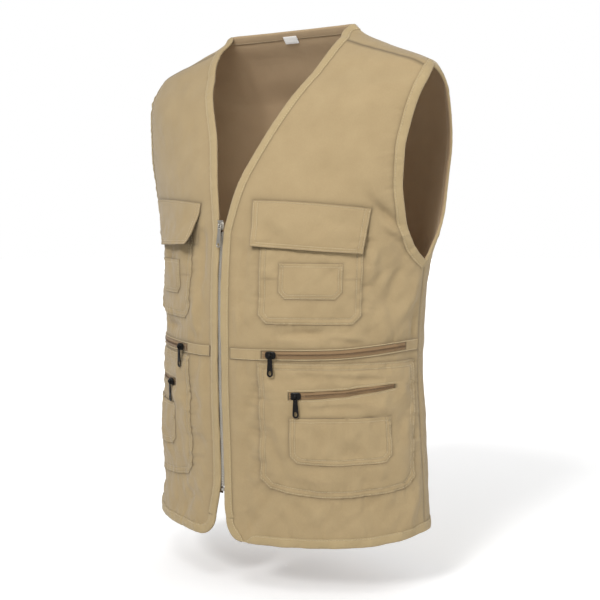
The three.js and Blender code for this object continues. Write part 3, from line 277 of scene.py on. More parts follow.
# Light and floor, in metres. Soft boxes have a name, place, size and power.
FLOOR_Z = -0.715
FLOOR_RADIUS = 9.0
FLOOR_SIDES = 96
VEST_MIDDLE = (0, 0, -0.28)
SOFT_BOXES = (
    ("front_box", (0.3, -0.75, 0.3), 0.35, 3.7),
    ("rear_box", (-1.1, 1.7, 0.5), 1.4, 13),
    ("side_box", (1.9, 0.3, -0.1), 1.2, 9),
)
WORLD_STRENGTH = 0.4
KEY_STRENGTH = 1.3
KEY_SOFTNESS = 12
KEY_DIRECTION = (-0.1, 0.8, -0.59)
FLOOR_GLOW = 0.28
FLOOR_GLOW_FAR = 0.09


def smooth_curve(rows):
    """Smooth curve through rows of (x, y) that never overshoots them."""
    rows = sorted(rows)
    xs = np.array([row[0] for row in rows], float)
    ys = np.array([row[1] for row in rows], float)
    steps = np.diff(xs)
    rises = np.diff(ys) / steps
    slopes = np.zeros_like(ys)
    slopes[0], slopes[-1] = rises[0], rises[-1]
    before = 2 * steps[1:] + steps[:-1]
    after = steps[1:] + 2 * steps[:-1]
    product = rises[:-1] * rises[1:]
    with np.errstate(divide="ignore", invalid="ignore"):
        mean = (before + after) / (before / rises[:-1] + after / rises[1:])
    slopes[1:-1] = np.where(product > 0, mean, 0)

    def value(at):
        x = np.clip(at, xs[0], xs[-1])
        i = np.clip(np.searchsorted(xs, x, side="right") - 1, 0, len(xs) - 2)
        t = (x - xs[i]) / steps[i]
        t2, t3 = t * t, t * t * t
        return ((2 * t3 - 3 * t2 + 1) * ys[i] + (t3 - 2 * t2 + t) * steps[i] * slopes[i]
                + (3 * t2 - 2 * t3) * ys[i + 1] + (t3 - t2) * steps[i] * slopes[i + 1])

    return value


LEVEL = [smooth_curve(list(zip(BODY_LEVELS[:, 0], BODY_LEVELS[:, i]))) for i in range(1, 7)]
TABLE_LEVELS = np.concatenate([np.arange(-720, -40, 2.0), np.arange(-40, 0.01, 0.25)])
OUTLINE_STEPS = 48
ROUND_STEPS = 128


def half_outline(z, front, angle):
    """Sideways and depth distance of a half outline at levels and angles."""
    width, depth, power = LEVEL[0](z), LEVEL[2 if front else 3](z), LEVEL[4 if front else 5](z)
    s, c = np.sin(angle), np.cos(angle)
    reach = (np.abs(s) ** power + np.abs(c) ** power) ** (-1 / power)
    return width * s * reach, depth * c * reach


def outline_tables(front):
    """Angle for each level and share of the length, and the whole length of each level."""
    angles = np.linspace(0, math.pi / 2, OUTLINE_STEPS + 1)
    shares = np.linspace(0, 1, ROUND_STEPS + 1)
    table, totals = [], []
    for z in TABLE_LEVELS:
        x, y = half_outline(z, front, angles)
        lengths = np.concatenate([[0], np.cumsum(np.hypot(np.diff(x), np.diff(y)))])
        table.append(np.interp(shares * lengths[-1], lengths, angles))
        totals.append(lengths[-1])
    return np.array(table), np.array(totals)


FRONT_ANGLES, FRONT_TOTALS = outline_tables(True)
BACK_ANGLES, BACK_TOTALS = outline_tables(False)


def front_total(z):
    """Length along the cloth from the centre front to the side seam."""
    return np.interp(z, TABLE_LEVELS, FRONT_TOTALS)


def back_total(z):
    """Length along the cloth from the side seam to the centre back."""
    return np.interp(z, TABLE_LEVELS, BACK_TOTALS)


def looked_up(table, z, share):
    """Values of an angle table between its levels and shares."""
    zi = np.interp(z, TABLE_LEVELS, np.arange(len(TABLE_LEVELS)))
    ri = np.clip(share, 0, 1) * ROUND_STEPS
    i = np.minimum(zi.astype(int), len(TABLE_LEVELS) - 2)
    j = np.minimum(ri.astype(int), ROUND_STEPS - 1)
    a, b = zi - i, ri - j
    return ((1 - a) * ((1 - b) * table[i, j] + b * table[i, j + 1])
            + a * ((1 - b) * table[i + 1, j] + b * table[i + 1, j + 1]))


def body_point(around, z, side):
    """Points on the middle of the plain cloth."""
    around, z, side = np.broadcast_arrays(np.asarray(around, float), np.asarray(z, float), side)
    mirrored = np.where((around < 0) | (around > 2), -side, side)
    place = np.where(around < 0, -around, np.where(around > 2, 4 - around, around))
    height = np.minimum(z, 0)
    back = place > 1
    share = np.where(back, 2 - place, place)
    fx, fy = half_outline(height, True, looked_up(FRONT_ANGLES, height, share))
    bx, by = half_outline(height, False, looked_up(BACK_ANGLES, height, share))
    x = np.where(back, bx, fx) * mirrored
    y = LEVEL[1](height) + np.where(back, by, -fy)
    return np.stack([x, y, z], -1)


def normalized(v):
    return v / np.maximum(np.linalg.norm(v, axis=-1, keepdims=True), 1e-9)


def body_frame(around, z, side):
    """Points with their outward and upward directions."""
    step, rise = 0.004, 0.6
    top = np.minimum(np.asarray(z, float) + rise, 0)
    along = body_point(around + step, z, side) - body_point(around - step, z, side)
    upward = body_point(around, top, side) - body_point(around, top - 2 * rise, side)
    side_of = np.broadcast_to(np.asarray(side, float), np.shape(along)[:-1])[..., None]
    out = normalized(np.cross(along, upward) * side_of)
    return body_point(around, z, side), out, normalized(upward)


# Smooth random numbers in one and two directions.
def ripple(s, seed, wavelengths=(6.7, 9.3, 13.1, 21.0), amounts=(0.45, 0.8, 0.7, 0.5)):
    """Sum of waves along a line, each with its own swell."""
    source = np.random.default_rng(seed)
    total = np.zeros_like(s, dtype=float)
    for length, amount in zip(wavelengths, amounts):
        phase, drift = source.uniform(0, 2 * math.pi, 2)
        swell = 0.6 + 0.4 * np.sin(2 * math.pi * s / (length * 5.3) + drift)
        total += amount * swell * np.sin(2 * math.pi * s / length + phase)
    return total


def noise(x, y, size_x, size_y, seed):
    """Smooth noise from -1 to 1 with cells of the given size."""
    source = np.random.default_rng(seed)
    lattice = source.uniform(-1, 1, (64, 64))
    u, v = x / size_x + 1000, y / size_y + 1000
    i, j = np.floor(u).astype(int), np.floor(v).astype(int)
    a, b = u - i, v - j
    a, b = a * a * (3 - 2 * a), b * b * (3 - 2 * b)
    i0, i1, j0, j1 = i % 64, (i + 1) % 64, j % 64, (j + 1) % 64
    return ((1 - a) * ((1 - b) * lattice[i0, j0] + b * lattice[i0, j1])
            + a * ((1 - b) * lattice[i1, j0] + b * lattice[i1, j1]))


def fold_height(folds, across, z):
    """Height of a table of folds."""
    height = np.zeros(np.broadcast(across, z).shape)
    for at, level, length, width, tilt, depth in folds:
        turn = math.radians(tilt)
        dx, dz = across - at, z - level
        long = (dx * math.cos(turn) + dz * math.sin(turn)) / length
        wide = (dz * math.cos(turn) - dx * math.sin(turn)) / width
        height += depth * np.exp(-long * long - wide * wide)
    return height


def along_line(points, x, y):
    """Distance to a line of points and the length along it, for each x and y."""
    points = np.asarray(points, float)
    best = np.full(np.shape(x), np.inf)
    where = np.zeros(np.shape(x))
    start = 0.0
    for a, b in zip(points[:-1], points[1:]):
        way = b - a
        length = math.hypot(*way)
        t = np.clip(((x - a[0]) * way[0] + (y - a[1]) * way[1]) / length ** 2, 0, 1)
        distance = np.hypot(x - a[0] - t * way[0], y - a[1] - t * way[1])
        nearer = distance < best
        best = np.where(nearer, distance, best)
        where = np.where(nearer, start + t * length, where)
        start += length
    return best, where


def pucker(points, x, y, seed, amount, reach):
    """Small ripples across a seam that fade away from it."""
    distance, where = along_line(points, x, y)
    return amount * ripple(where + 0.12 * distance, seed) * np.exp(-distance / reach)


waist_level = smooth_curve(WAISTLINE)
hem_level = smooth_curve(HEMLINE)
neck_across = smooth_curve(NECKLINE)
armhole_front = smooth_curve(ARMHOLE_FRONT)
armhole_back = smooth_curve(ARMHOLE_BACK)
edge_across = {side: smooth_curve(rows) for side, rows in FRONT_EDGE.items()}
zip_level = smooth_curve([row[:2] for row in ZIP_LINE])
zip_half = smooth_curve([(row[0], row[2]) for row in ZIP_LINE])


def round_for(across, z):
    return across / front_total(np.minimum(z, 0))


def waist_at(across):
    return waist_level(round_for(across, WAIST_LEVEL))


def hem_at(across):
    return hem_level(round_for(across, HEM_LEVEL))


def edge_line(side):
    """Front edge and neckline of one side as across and z, from the hem to the neck point."""
    low = np.linspace(CORNER_START, -262, 40)
    high = np.linspace(-262, -4, 60)[1:]
    across = np.concatenate([edge_across[side](low), neck_across(high)])
    return np.stack([across, np.concatenate([low, high])], 1)


def armhole_line():
    """Front edge of the armhole as across and z, from the armpit up."""
    z = np.linspace(ARMPIT + 1, -64, 50)
    return np.stack([armhole_front(z) * front_total(z), z], 1)


def pocket_frame(shape):
    """Outline of a sewn pocket from its top inner corner, down, round and up again."""
    outer_low = shape.get("outer_low", shape["outer"])
    inner, outer, cut, bottom = shape["inner"], shape["outer"], shape["cut"], shape["bottom"]
    share = np.linspace(0, 1, 13)
    across = inner + cut + (outer_low - inner - 2 * cut) * share
    low = bottom - shape["sag"] * 4 * share * (1 - share)
    points = [(inner, shape["top"]), (inner, bottom + cut)]
    points += list(zip(across, low))
    points += [(outer_low, bottom + cut), (outer, shape["top"])]
    return np.array(points)


def seam_lines(side):
    """Seams that pucker the front cloth: points, seed, amount and reach."""
    edge = edge_line(side) + np.array([BAND_WIDTH, 0])
    hole = armhole_line() - np.array([BAND_WIDTH, 0])
    waist = np.array([(a, waist_at(a)) for a in np.linspace(15, 272, 12)])
    hem = np.array([(a, hem_at(a) + BAND_WIDTH) for a in np.linspace(30, 280, 12)])
    base = 11 if side == LEFT else 61
    return [
        (edge, base + 1, 0.3, 9), (hole, base + 2, 0.5, 12), (waist, base + 3, 0.95, 14),
        (hem, base + 4, 0.55, 13), (pocket_frame(CHEST), base + 5, 0.6, 12),
        (pocket_frame(LOWER), base + 6, 0.75, 13),
    ]


SEAMS = {side: seam_lines(side) for side in SIDES}


def smooth_step(x):
    x = np.clip(x, 0, 1)
    return x * x * (3 - 2 * x)


def smoother_above(z, level):
    """Share of the wrinkles: few in the taut cloth of the shoulders."""
    return 0.22 + 0.78 * smooth_step((level - z) / 80)


def waves(table, across, z, seed=0):
    """Sum of smooth noise of several sizes."""
    return sum(amount * noise(across + lean * z, stretch * z, wide, tall, seed + step)
               for amount, lean, stretch, wide, tall, step in table)


def front_height(across, z, run, side):
    """Height of the folds, puckers and waves of a front. Run is the distance to the side seam."""
    calm = np.clip(run / SIDE_CALM, 0, 1)
    fine = FINE_SCALE * fold_height(FINE_FOLDS[side], across, z)
    for slider, level in SLIDER_SPOTS:
        fine = fine * (1 - np.exp(-((across - slider) ** 2 + (z - level) ** 2) / SLIDER_CALM ** 2))
    height = (fold_height(FRONT_FOLDS[side], across, z) + fine) * calm
    beside_zip = 1 - np.exp(-((z - WAIST_MIDDLE) / ZIP_CALM) ** 2)
    for points, seed, amount, reach in SEAMS[side]:
        height += pucker(points, across, z, seed, amount, reach) * beside_zip
    near_edge, _ = along_line(SEAMS[side][0][0], across, z)
    near_hole, _ = along_line(SEAMS[side][1][0], across, z)
    free = smooth_step(np.minimum(near_edge, near_hole) / EDGE_CALM)
    free = free * calm * smoother_above(z, SHOULDER_CALM["front"])
    height += waves(FRONT_SWELL, across, z, WAVE_SEEDS[side]) * free
    return height + waves(FRONT_WAVES, across, z, WAVE_SEEDS[side]) * beside_zip * free


def back_height(across, z, run):
    """Height of the folds and waves of the back. Run is the distance to the side seam."""
    calm = np.clip(run / SIDE_CALM, 0, 1)
    height = fold_height(BACK_FOLDS + FINE_BACK_FOLDS, across, z) * calm
    height += waves(BACK_WAVES, across, z) * calm * smoother_above(z, SHOULDER_CALM["back"])
    from_hem = np.abs(z - (HEMLINE[-1][1] + BAND_WIDTH))
    return height + 0.28 * ripple(across, 303) * np.exp(-from_hem / 12)


def cloth_height(around, z, side):
    """Height of all folds and puckers over the plain cloth, which lies calm round the sliders."""
    around, z, side = np.broadcast_arrays(np.asarray(around, float), np.asarray(z, float), side)
    level = np.minimum(z, 0)
    height = np.zeros(around.shape)
    for one in SIDES:
        here = (around <= 1) & (side == one)
        if here.any():
            total = front_total(level)[here]
            across = around[here] * total
            height[here] = front_height(across, z[here], total - across, one)
        here = (around > 1) & (side == one)
        if here.any():
            total = back_total(level)[here]
            across = (2 - around[here]) * total
            height[here] = back_height(across * one, z[here], total - across)
    seam = np.exp(-(np.abs(around - 1) * front_total(level) / 1.1) ** 2)
    below_armpit = np.clip((ARMPIT - z) / 6, 0, 1)
    return height - 0.6 * seam * below_armpit


def cloth(around, z, side, height=0.0):
    """Points at a height over the folded cloth."""
    point, out, _ = body_frame(around, z, side)
    return point + out * (np.asarray(height, float) + cloth_height(around, z, side))[..., None]


# Meshes from arrays. Cloth coordinates in millimetres go into the attribute that materials read.
# The other attribute is painted shade from 0 to 1, darkest in seams, beside sewn edges and under flaps.
WEAVE = "cloth_mm"
SHADE_ATTRIBUTE = "painted_shade_amount"


def make_object(name, verts, faces, material, weave=None, sharp=50, seam=None):
    """Object from an array of corners in millimetres and a list of face arrays."""
    mesh = bpy.data.meshes.new(name)
    corners = np.concatenate([f.ravel() for f in faces]).astype(np.int32)
    sizes = np.concatenate([np.full(len(f), f.shape[1]) for f in faces]).astype(np.int32)
    mesh.vertices.add(len(verts))
    mesh.vertices.foreach_set("co", (verts * MM).astype(np.float32).ravel())
    mesh.loops.add(len(corners))
    mesh.loops.foreach_set("vertex_index", corners)
    mesh.polygons.add(len(sizes))
    mesh.polygons.foreach_set("loop_start", np.concatenate([[0], np.cumsum(sizes)[:-1]]).astype(np.int32))
    mesh.polygons.foreach_set("use_smooth", np.ones(len(sizes), bool))
    mesh.update(calc_edges=True)
    mesh.validate()
    if weave is not None:
        attribute = mesh.attributes.new(WEAVE, "FLOAT_VECTOR", "POINT")
        attribute.data.foreach_set("vector", weave.astype(np.float32).ravel())
    # Seam values are painted shade, which the cloth materials mix in.
    if seam is not None:
        attribute = mesh.attributes.new(SHADE_ATTRIBUTE, "FLOAT", "POINT")
        attribute.data.foreach_set("value", np.clip(seam, 0, 1).astype(np.float32).ravel())
    mesh.set_sharp_from_angle(angle=math.radians(sharp))
    mesh.materials.append(material)
    obj = bpy.data.objects.new(name, mesh)
    bpy.context.scene.collection.objects.link(obj)
    return obj


def place_piece(obj, nodes=(), body=BODY):
    """Gives an object its body and the nodes it stands for."""
    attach(obj, body)
    if nodes:
        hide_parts(*nodes)
    return obj


def hang(obj, width, length, with_pieces=()):
    """Gives back the object unchanged; width, length and with_pieces are not used. Its shell has two faces.
    """
    return obj


def grid_cells(rows, columns, keep=None):
    """Corner numbers of the cells of a grid, in rows."""
    index = np.arange(rows * columns).reshape(rows, columns)
    cells = np.stack([index[:-1, :-1], index[:-1, 1:], index[1:, 1:], index[1:, :-1]], -1)
    if keep is None:
        keep = np.ones(cells.shape[:2], bool)
    return cells[keep]


def shell_faces(rows, columns, keep=None):
    """Faces of a closed layer: an outer grid, an inner grid and the walls between their edges."""
    outer = grid_cells(rows, columns, keep)
    count = rows * columns
    inner = outer[:, ::-1] + count
    edges = np.stack([outer, np.roll(outer, -1, axis=1)], -1).reshape(-1, 2)
    code = edges[:, 0].astype(np.int64) * count + edges[:, 1]
    back = edges[:, 1].astype(np.int64) * count + edges[:, 0]
    rim = edges[~np.isin(code, back)]
    walls = np.stack([rim[:, 1], rim[:, 0], rim[:, 0] + count, rim[:, 1] + count], -1)
    return [outer, inner, walls]


def facing_out(verts, faces, out):
    """Turns the faces over if the first face looks against the outward direction."""
    first = verts[faces[0][len(faces[0]) // 2]]
    normal = np.cross(first[1] - first[0], first[2] - first[0])
    if np.dot(normal, out) < 0:
        return [f[:, ::-1] for f in faces]
    return faces


def shell(name, outer, inner, weave, out, material, keep=None, sharp=50, seam=None, under=1.0):
    """Closed layer between two grids of points."""
    rows, columns = outer.shape[:2]
    verts = np.concatenate([outer.reshape(-1, 3), inner.reshape(-1, 3)])
    faces = facing_out(verts, shell_faces(rows, columns, keep), out)
    used = np.unique(np.concatenate([f.ravel() for f in faces]))
    renumber = np.full(len(verts), -1)
    renumber[used] = np.arange(len(used))
    places = np.concatenate([weave.reshape(-1, 3)] * 2)[used]
    painted_shades = None
    # Painted shade: seam on the outer grid, and the amount under on every corner of the inner grid.
    if seam is not None:
        painted_shades = np.concatenate([seam.ravel(), np.full(seam.size, under)])[used]
    return make_object(name, verts[used], [renumber[f] for f in faces], material, places, sharp, painted_shades)


# Procedural materials.
def srgb(r, g, b):
    """Linear colour from the usual 0 to 255 numbers."""
    linear = [((c / 255 + 0.055) / 1.055) ** 2.4 if c > 10 else c / 255 / 12.92 for c in (r, g, b)]
    return (*linear, 1)


SHADER_INPUTS = {
    "roughness": "Roughness", "metallic": "Metallic", "specular": "Specular IOR Level",
    "sheen": "Sheen Weight", "sheen_roughness": "Sheen Roughness", "coat": "Coat Weight",
    "coat_roughness": "Coat Roughness",
}


class Nodes:
    """Short ways to add nodes to a material."""

    def __init__(self, name):
        self.material = bpy.data.materials.new(name)
        self.material.use_nodes = True
        self.tree = self.material.node_tree
        self.shader = self.tree.nodes["Principled BSDF"]

    def add(self, kind, values=None, links=None, **settings):
        node = self.tree.nodes.new(kind)
        for key, value in settings.items():
            setattr(node, key, value)
        for key, value in (values or {}).items():
            node.inputs[key].default_value = value
        for key, socket in (links or {}).items():
            self.tree.links.new(socket, node.inputs[key])
        return node

    def math(self, operation, a, b=None):
        node = self.add("ShaderNodeMath", operation=operation)
        for i, value in enumerate([a] if b is None else [a, b]):
            if hasattr(value, "is_linked"):
                self.tree.links.new(value, node.inputs[i])
            else:
                node.inputs[i].default_value = value
        return node.outputs[0]

    def mix(self, share, first, second):
        node = self.add("ShaderNodeMix", data_type="RGBA")
        for socket, value in ((node.inputs[0], share), (node.inputs[6], first), (node.inputs[7], second)):
            if hasattr(value, "is_linked"):
                self.tree.links.new(value, socket)
            else:
                socket.default_value = value
        return node.outputs[2]

    def bump(self, height, strength, distance):
        node = self.add("ShaderNodeBump", {"Strength": strength, "Distance": distance}, {"Height": height})
        return node.outputs[0]

    def noise(self, vector, scale, detail=2.0, roughness=0.5):
        node = self.add("ShaderNodeTexNoise", {"Scale": scale, "Detail": detail, "Roughness": roughness},
                        {"Vector": vector})
        return node.outputs["Fac"]

    def attribute(self, name, output):
        node = self.add("ShaderNodeAttribute", attribute_type="GEOMETRY", attribute_name=name)
        return node.outputs[output]

    def clamp(self, value):
        return self.add("ShaderNodeClamp", links={"Value": value}).outputs[0]

    def set(self, **values):
        for key, value in values.items():
            self.shader.inputs[SHADER_INPUTS[key]].default_value = value

    def link(self, socket, name):
        self.tree.links.new(socket, self.shader.inputs[name])


PAINTED_SHADE_STRENGTH = 0.62


def cloth_material(name, base, light, dark, rough=0.86, twill=0.55, bump=0.35, sheen=0.25):
    """Twill: fine diagonal yarns, faint slubs, slow colour changes, lighter convex ridges, and painted shade
    from the shade attribute.
    """
    nodes = Nodes(name)
    place = nodes.attribute(WEAVE, "Vector")
    parts = nodes.add("ShaderNodeSeparateXYZ", links={"Vector": place})
    u, v = parts.outputs[0], parts.outputs[1]
    diagonal = nodes.math("ADD", u, nodes.math("MULTIPLY", v, 0.8))
    lines = nodes.math("SINE", nodes.math("MULTIPLY", diagonal, 2 * math.pi / twill))
    yarns = nodes.math("SINE", nodes.math("MULTIPLY", v, 2 * math.pi / (twill * 0.75)))
    weave = nodes.math("ADD", lines, nodes.math("MULTIPLY", yarns, 0.5))
    slub = nodes.noise(place, 0.45, 3.0, 0.6)
    slow = nodes.noise(place, 0.035, 2.0, 0.5)
    stretched = nodes.add("ShaderNodeMapping", {"Scale": (3.0, 0.35, 1.0)}, {"Vector": place}).outputs[0]
    streak = nodes.noise(stretched, 0.5, 2.0, 0.6)
    fine = nodes.math("MULTIPLY", weave, 0.12)
    share = nodes.math("ADD", nodes.math("MULTIPLY", slub, 0.5), nodes.math("MULTIPLY", slow, 0.7))
    share = nodes.math("ADD", share, nodes.math("MULTIPLY", streak, 0.3))
    share = nodes.math("ADD", nodes.math("SUBTRACT", share, 0.25), fine)
    colour = nodes.mix(share, srgb(*dark), srgb(*light))
    colour = nodes.mix(0.5, colour, srgb(*base))
    # Lighter where the surface is convex.
    point = nodes.add("ShaderNodeNewGeometry").outputs["Pointiness"]
    convexity = nodes.math("MULTIPLY", nodes.math("SUBTRACT", point, 0.5), 2.2)
    colour = nodes.mix(nodes.clamp(convexity), colour, srgb(*light))
    # Painted shade: the colour is mixed towards a much darker khaki where the shade attribute is high.
    shade = nodes.math("MULTIPLY", nodes.attribute(SHADE_ATTRIBUTE, "Fac"), PAINTED_SHADE_STRENGTH)
    colour = nodes.mix(shade, colour, srgb(*(int(c * 0.42) for c in dark)))
    nodes.link(colour, "Base Color")
    surface = nodes.math("ADD", nodes.math("MULTIPLY", weave, 0.5), nodes.math("MULTIPLY", slub, 1.5))
    nodes.link(nodes.bump(surface, bump, 0.0002), "Normal")
    roughness = nodes.math("ADD", nodes.math("MULTIPLY", slub, 0.12), rough - 0.06)
    nodes.link(roughness, "Roughness")
    nodes.set(specular=0.3, sheen=sheen, sheen_roughness=0.45)
    return nodes.material


def thread_material(name, base):
    """Sewing thread with fine lighter and darker fibres."""
    nodes = Nodes(name)
    place = nodes.add("ShaderNodeNewGeometry").outputs["Position"]
    fibre = nodes.noise(place, 2600.0, 2.0, 0.6)
    nodes.link(nodes.mix(fibre, srgb(*(int(c * 0.86) for c in base)), srgb(*base)), "Base Color")
    nodes.link(nodes.bump(fibre, 0.4, 0.0001), "Normal")
    nodes.set(roughness=0.7, sheen=0.2)
    return nodes.material


def metal_material(name, base, dark, rough, metallic, patch_and_edge_amount=0.4, coat=0.0, specular=0.5):
    """Cast metal with fine scratches, darker patches and lighter convex edges."""
    nodes = Nodes(name)
    place = nodes.add("ShaderNodeNewGeometry").outputs["Position"]
    cloud = nodes.noise(place, 260.0, 4.0, 0.6)
    scratch = nodes.add("ShaderNodeMapping", {"Scale": (1.0, 1.0, 9.0)}, {"Vector": place}).outputs[0]
    lines = nodes.noise(scratch, 900.0, 2.0, 0.7)
    point = nodes.add("ShaderNodeNewGeometry").outputs["Pointiness"]
    edge = nodes.clamp(nodes.math("MULTIPLY", nodes.math("SUBTRACT", point, 0.52), 6.0))
    share = nodes.math("MULTIPLY", cloud, patch_and_edge_amount)
    colour = nodes.mix(share, srgb(*base), srgb(*dark))
    colour = nodes.mix(nodes.math("MULTIPLY", edge, patch_and_edge_amount), colour, srgb(*(min(255, c + 45) for c in base)))
    nodes.link(colour, "Base Color")
    nodes.link(nodes.math("ADD", nodes.math("MULTIPLY", lines, 0.2), rough - 0.1), "Roughness")
    nodes.link(nodes.bump(lines, 0.15, 0.0001), "Normal")
    nodes.set(metallic=metallic, coat=coat, coat_roughness=0.25, specular=specular)
    return nodes.material


KHAKI = cloth_material("khaki_twill", (170, 148, 110), (186, 165, 127), (148, 126, 91))
# Lighter copy of the khaki for inside faces: painted light that lifts the shaded inside.
KHAKI_INSIDE_PAINTED_LIGHT = cloth_material("khaki_inside_painted_light", (188, 162, 128), (200, 174, 140), (168, 143, 110), rough=0.92,
                              sheen=0.1)
BINDING = cloth_material("khaki_binding", (174, 153, 114), (190, 170, 131), (152, 131, 95), twill=0.7)
TAPE = cloth_material("zip_tape", (140, 113, 80), (154, 127, 92), (114, 90, 62), rough=0.75, twill=0.9)
# Darker copy of the tape: painted shadow, for the tape behind the front edges and for the coils.
TAPE_DARK = cloth_material("zip_tape_shadow", (96, 72, 46), (110, 84, 56), (78, 56, 34), rough=0.8, twill=0.9)
LABEL = cloth_material("label_tape", (248, 247, 243), (252, 251, 249), (240, 238, 232), rough=0.7, twill=0.4)
THREAD = thread_material("khaki_thread", (214, 196, 160))
SILVER = metal_material("nickel", (206, 202, 194), (120, 112, 100), 0.3, 0.95)
TEETH = metal_material("tooth_metal", (232, 224, 206), (150, 136, 112), 0.38, 0.7)
BLACK = metal_material("black_lacquer", (11, 8, 6), (5, 4, 3), 0.36, 0.0, patch_and_edge_amount=0.3, coat=0.04, specular=0.25)


# Stitches: short threads that lie along a line on the cloth.
def run_along(points):
    """Length along a line of points, at each of them."""
    return np.concatenate([[0], np.cumsum(np.linalg.norm(np.diff(points, axis=0), axis=1))])


def resampled(points, pitch):
    """Points in the middle of even steps along a line."""
    run = run_along(points)
    count = max(1, int(run[-1] / pitch))
    at = (np.arange(count) + 0.5) * run[-1] / count
    return np.stack([np.interp(at, run, points[:, i]) for i in range(points.shape[1])], 1)


def tube_faces(rings, sides, closed=False):
    """Side faces and end faces of a tube whose corners are numbered ring by ring."""
    index = np.arange(rings * sides).reshape(rings, sides)
    if closed:
        index = np.concatenate([index, index[:1]])
    rolled = np.roll(index, -1, axis=1)
    quads = np.stack([index[:-1], rolled[:-1], rolled[1:], index[1:]], -1).reshape(-1, 4)
    return quads, np.array([index[0][::-1], index[-1]])


def stitch_arrays(points, outs):
    """Corners and faces of a row of stitches along dense points with outward directions."""
    both = np.concatenate([points, outs], 1)
    run = run_along(points)
    count = int(run[-1] / STITCH_PITCH)
    shares, lifts, widths = np.array(STITCH_FORM).T
    at = ((np.arange(count) + 0.5) * STITCH_PITCH)[:, None] + shares * STITCH_LENGTH
    sample = np.stack([np.interp(at, run, both[:, i]) for i in range(6)], -1)
    centre, out = sample[..., :3], normalized(sample[..., 3:])
    way = normalized(np.gradient(centre, axis=1))
    across = normalized(np.cross(out, way))
    angle = (np.arange(STITCH_SIDES) * 2 * math.pi / STITCH_SIDES)[:, None]
    ring = across[:, :, None, :] * np.cos(angle) + out[:, :, None, :] * np.sin(angle)
    lifted = centre + out * (lifts * STITCH_RADIUS)[:, None]
    verts = lifted[:, :, None, :] + ring * (widths * STITCH_RADIUS)[:, None, None]
    base = np.arange(count)[:, None, None] * len(shares) * STITCH_SIDES
    quads, caps = ((f + base).reshape(-1, f.shape[1]) for f in tube_faces(len(shares), STITCH_SIDES))
    return verts.reshape(-1, 3), quads, caps


def stitch_piece(name, rows):
    """One object holding rows of stitches, each a pair of dense points and outward directions."""
    verts, quads, caps, start = [], [], [], 0
    for points, outs in rows:
        v, q, c = stitch_arrays(points, outs)
        verts.append(v)
        quads.append(q + start)
        caps.append(c + start)
        start += len(v)
    faces = [np.concatenate(quads), np.concatenate(caps)]
    return place_piece(make_object(name, np.concatenate(verts), faces, THREAD, sharp=80))


def surface_row(across, z, side, height):
    """Stitch line just over a height of a front: dense points and outward directions."""
    across, z = resampled(np.stack([across, z], 1), 0.8).T
    around = round_for(across, z)
    _, out, _ = body_frame(around, z, side)
    lift = height(across, z, side) if callable(height) else height
    return cloth(around, z, side, lift + STITCH_LIFT), out


# Body panels.
def along(rows, column, count):
    """Level for each fine row through the rough rows of a panel."""
    index = smooth_curve(list(enumerate(row[column] for row in rows)))
    return index(np.linspace(0, len(rows) - 1, count))


def last_rows(rows, bent=21):
    """Share that grows from 0 to 1 over the last rows of a panel, which bend to its lower edge."""
    return np.clip((np.arange(rows) - (rows - 1 - bent)) / bent, 0, 1)[:, None]


def upper_front_places(side, rows=168, columns=108):
    """Grid from the neck and armhole down to the waist seam, as round and level."""
    table = UPPER_FRONT + [(float(waist_level(0.0)), float(waist_level(1.0)))]
    inner_z, outer_z = along(table, 0, rows), along(table, 1, rows)
    inner = np.where(inner_z > NECKLINE[0][0], neck_across(inner_z), edge_across[side](inner_z))
    inner = inner / front_total(inner_z)
    outer = np.where(outer_z > ARMPIT, armhole_front(outer_z), 1.0)
    t = np.linspace(0, 1, columns)[None, :]
    around = inner[:, None] * (1 - t) + outer[:, None] * t
    z = inner_z[:, None] * (1 - t) + outer_z[:, None] * t
    z = z + (waist_level(around) - z[-1:]) * last_rows(rows) ** 2
    return around, z


def lower_front_places(side, rows=100, columns=112):
    """Grid from the waist seam down to the hem with its rounded corner."""
    t = np.linspace(0, 1, columns)[None, :]
    down = np.linspace(0, 1, rows)[:, None]
    start = edge_across[side](CORNER_START)
    first = round_for(start, HEM_LEVEL)
    around_low = first + (1 - first) * t
    top_z = waist_level(around_low)
    across_low = around_low * front_total(HEM_LEVEL)
    inset = np.clip(1 - (across_low - start) / CORNER_RADIUS, 0, 1)
    rise = CORNER_RADIUS * (1 - np.sqrt(np.clip(1 - inset ** 2, 0, 1)))
    bottom_z = hem_level(around_low) + rise
    z = top_z + (bottom_z - top_z) * down
    inner = edge_across[side](z[:, :1]) / front_total(z[:, :1])
    around = inner * (1 - t) + t
    return around, z


def back_places(rows=228, columns=84):
    """Grid of one half of the back, from the forward shoulder seam down to the hem."""
    seam = UPPER_FRONT[0]
    first = (float(neck_across(seam[0]) / front_total(seam[0])), seam[0],
             float(armhole_front(seam[1])), seam[1])
    shoulder = [first] + SHOULDER
    inner_round = [row[0] for row in shoulder] + [2.0] * (len(BACK) + 1)
    inner_z = [row[1] for row in shoulder] + [row[0] for row in BACK] + [float(hem_level(2.0))]
    outer_z = [row[3] for row in shoulder] + [row[1] for row in BACK] + [float(hem_level(1.0))]
    outer_round = [row[2] for row in shoulder]
    outer_round += [float(armhole_back(z)) if z > ARMPIT else 1.0 for z in outer_z[len(shoulder):]]
    at = np.linspace(0, len(inner_z) - 1, rows)
    edges = (inner_round, inner_z, outer_round, outer_z)
    fine = [smooth_curve(list(enumerate(values)))(at)[:, None] for values in edges]
    t = np.linspace(0, 1, columns)[None, :]
    around = fine[0] * (1 - t) + fine[2] * t
    z = fine[1] * (1 - t) + fine[3] * t
    z = z + (hem_level(around) - z[-1:]) * last_rows(rows) ** 2
    return around, z


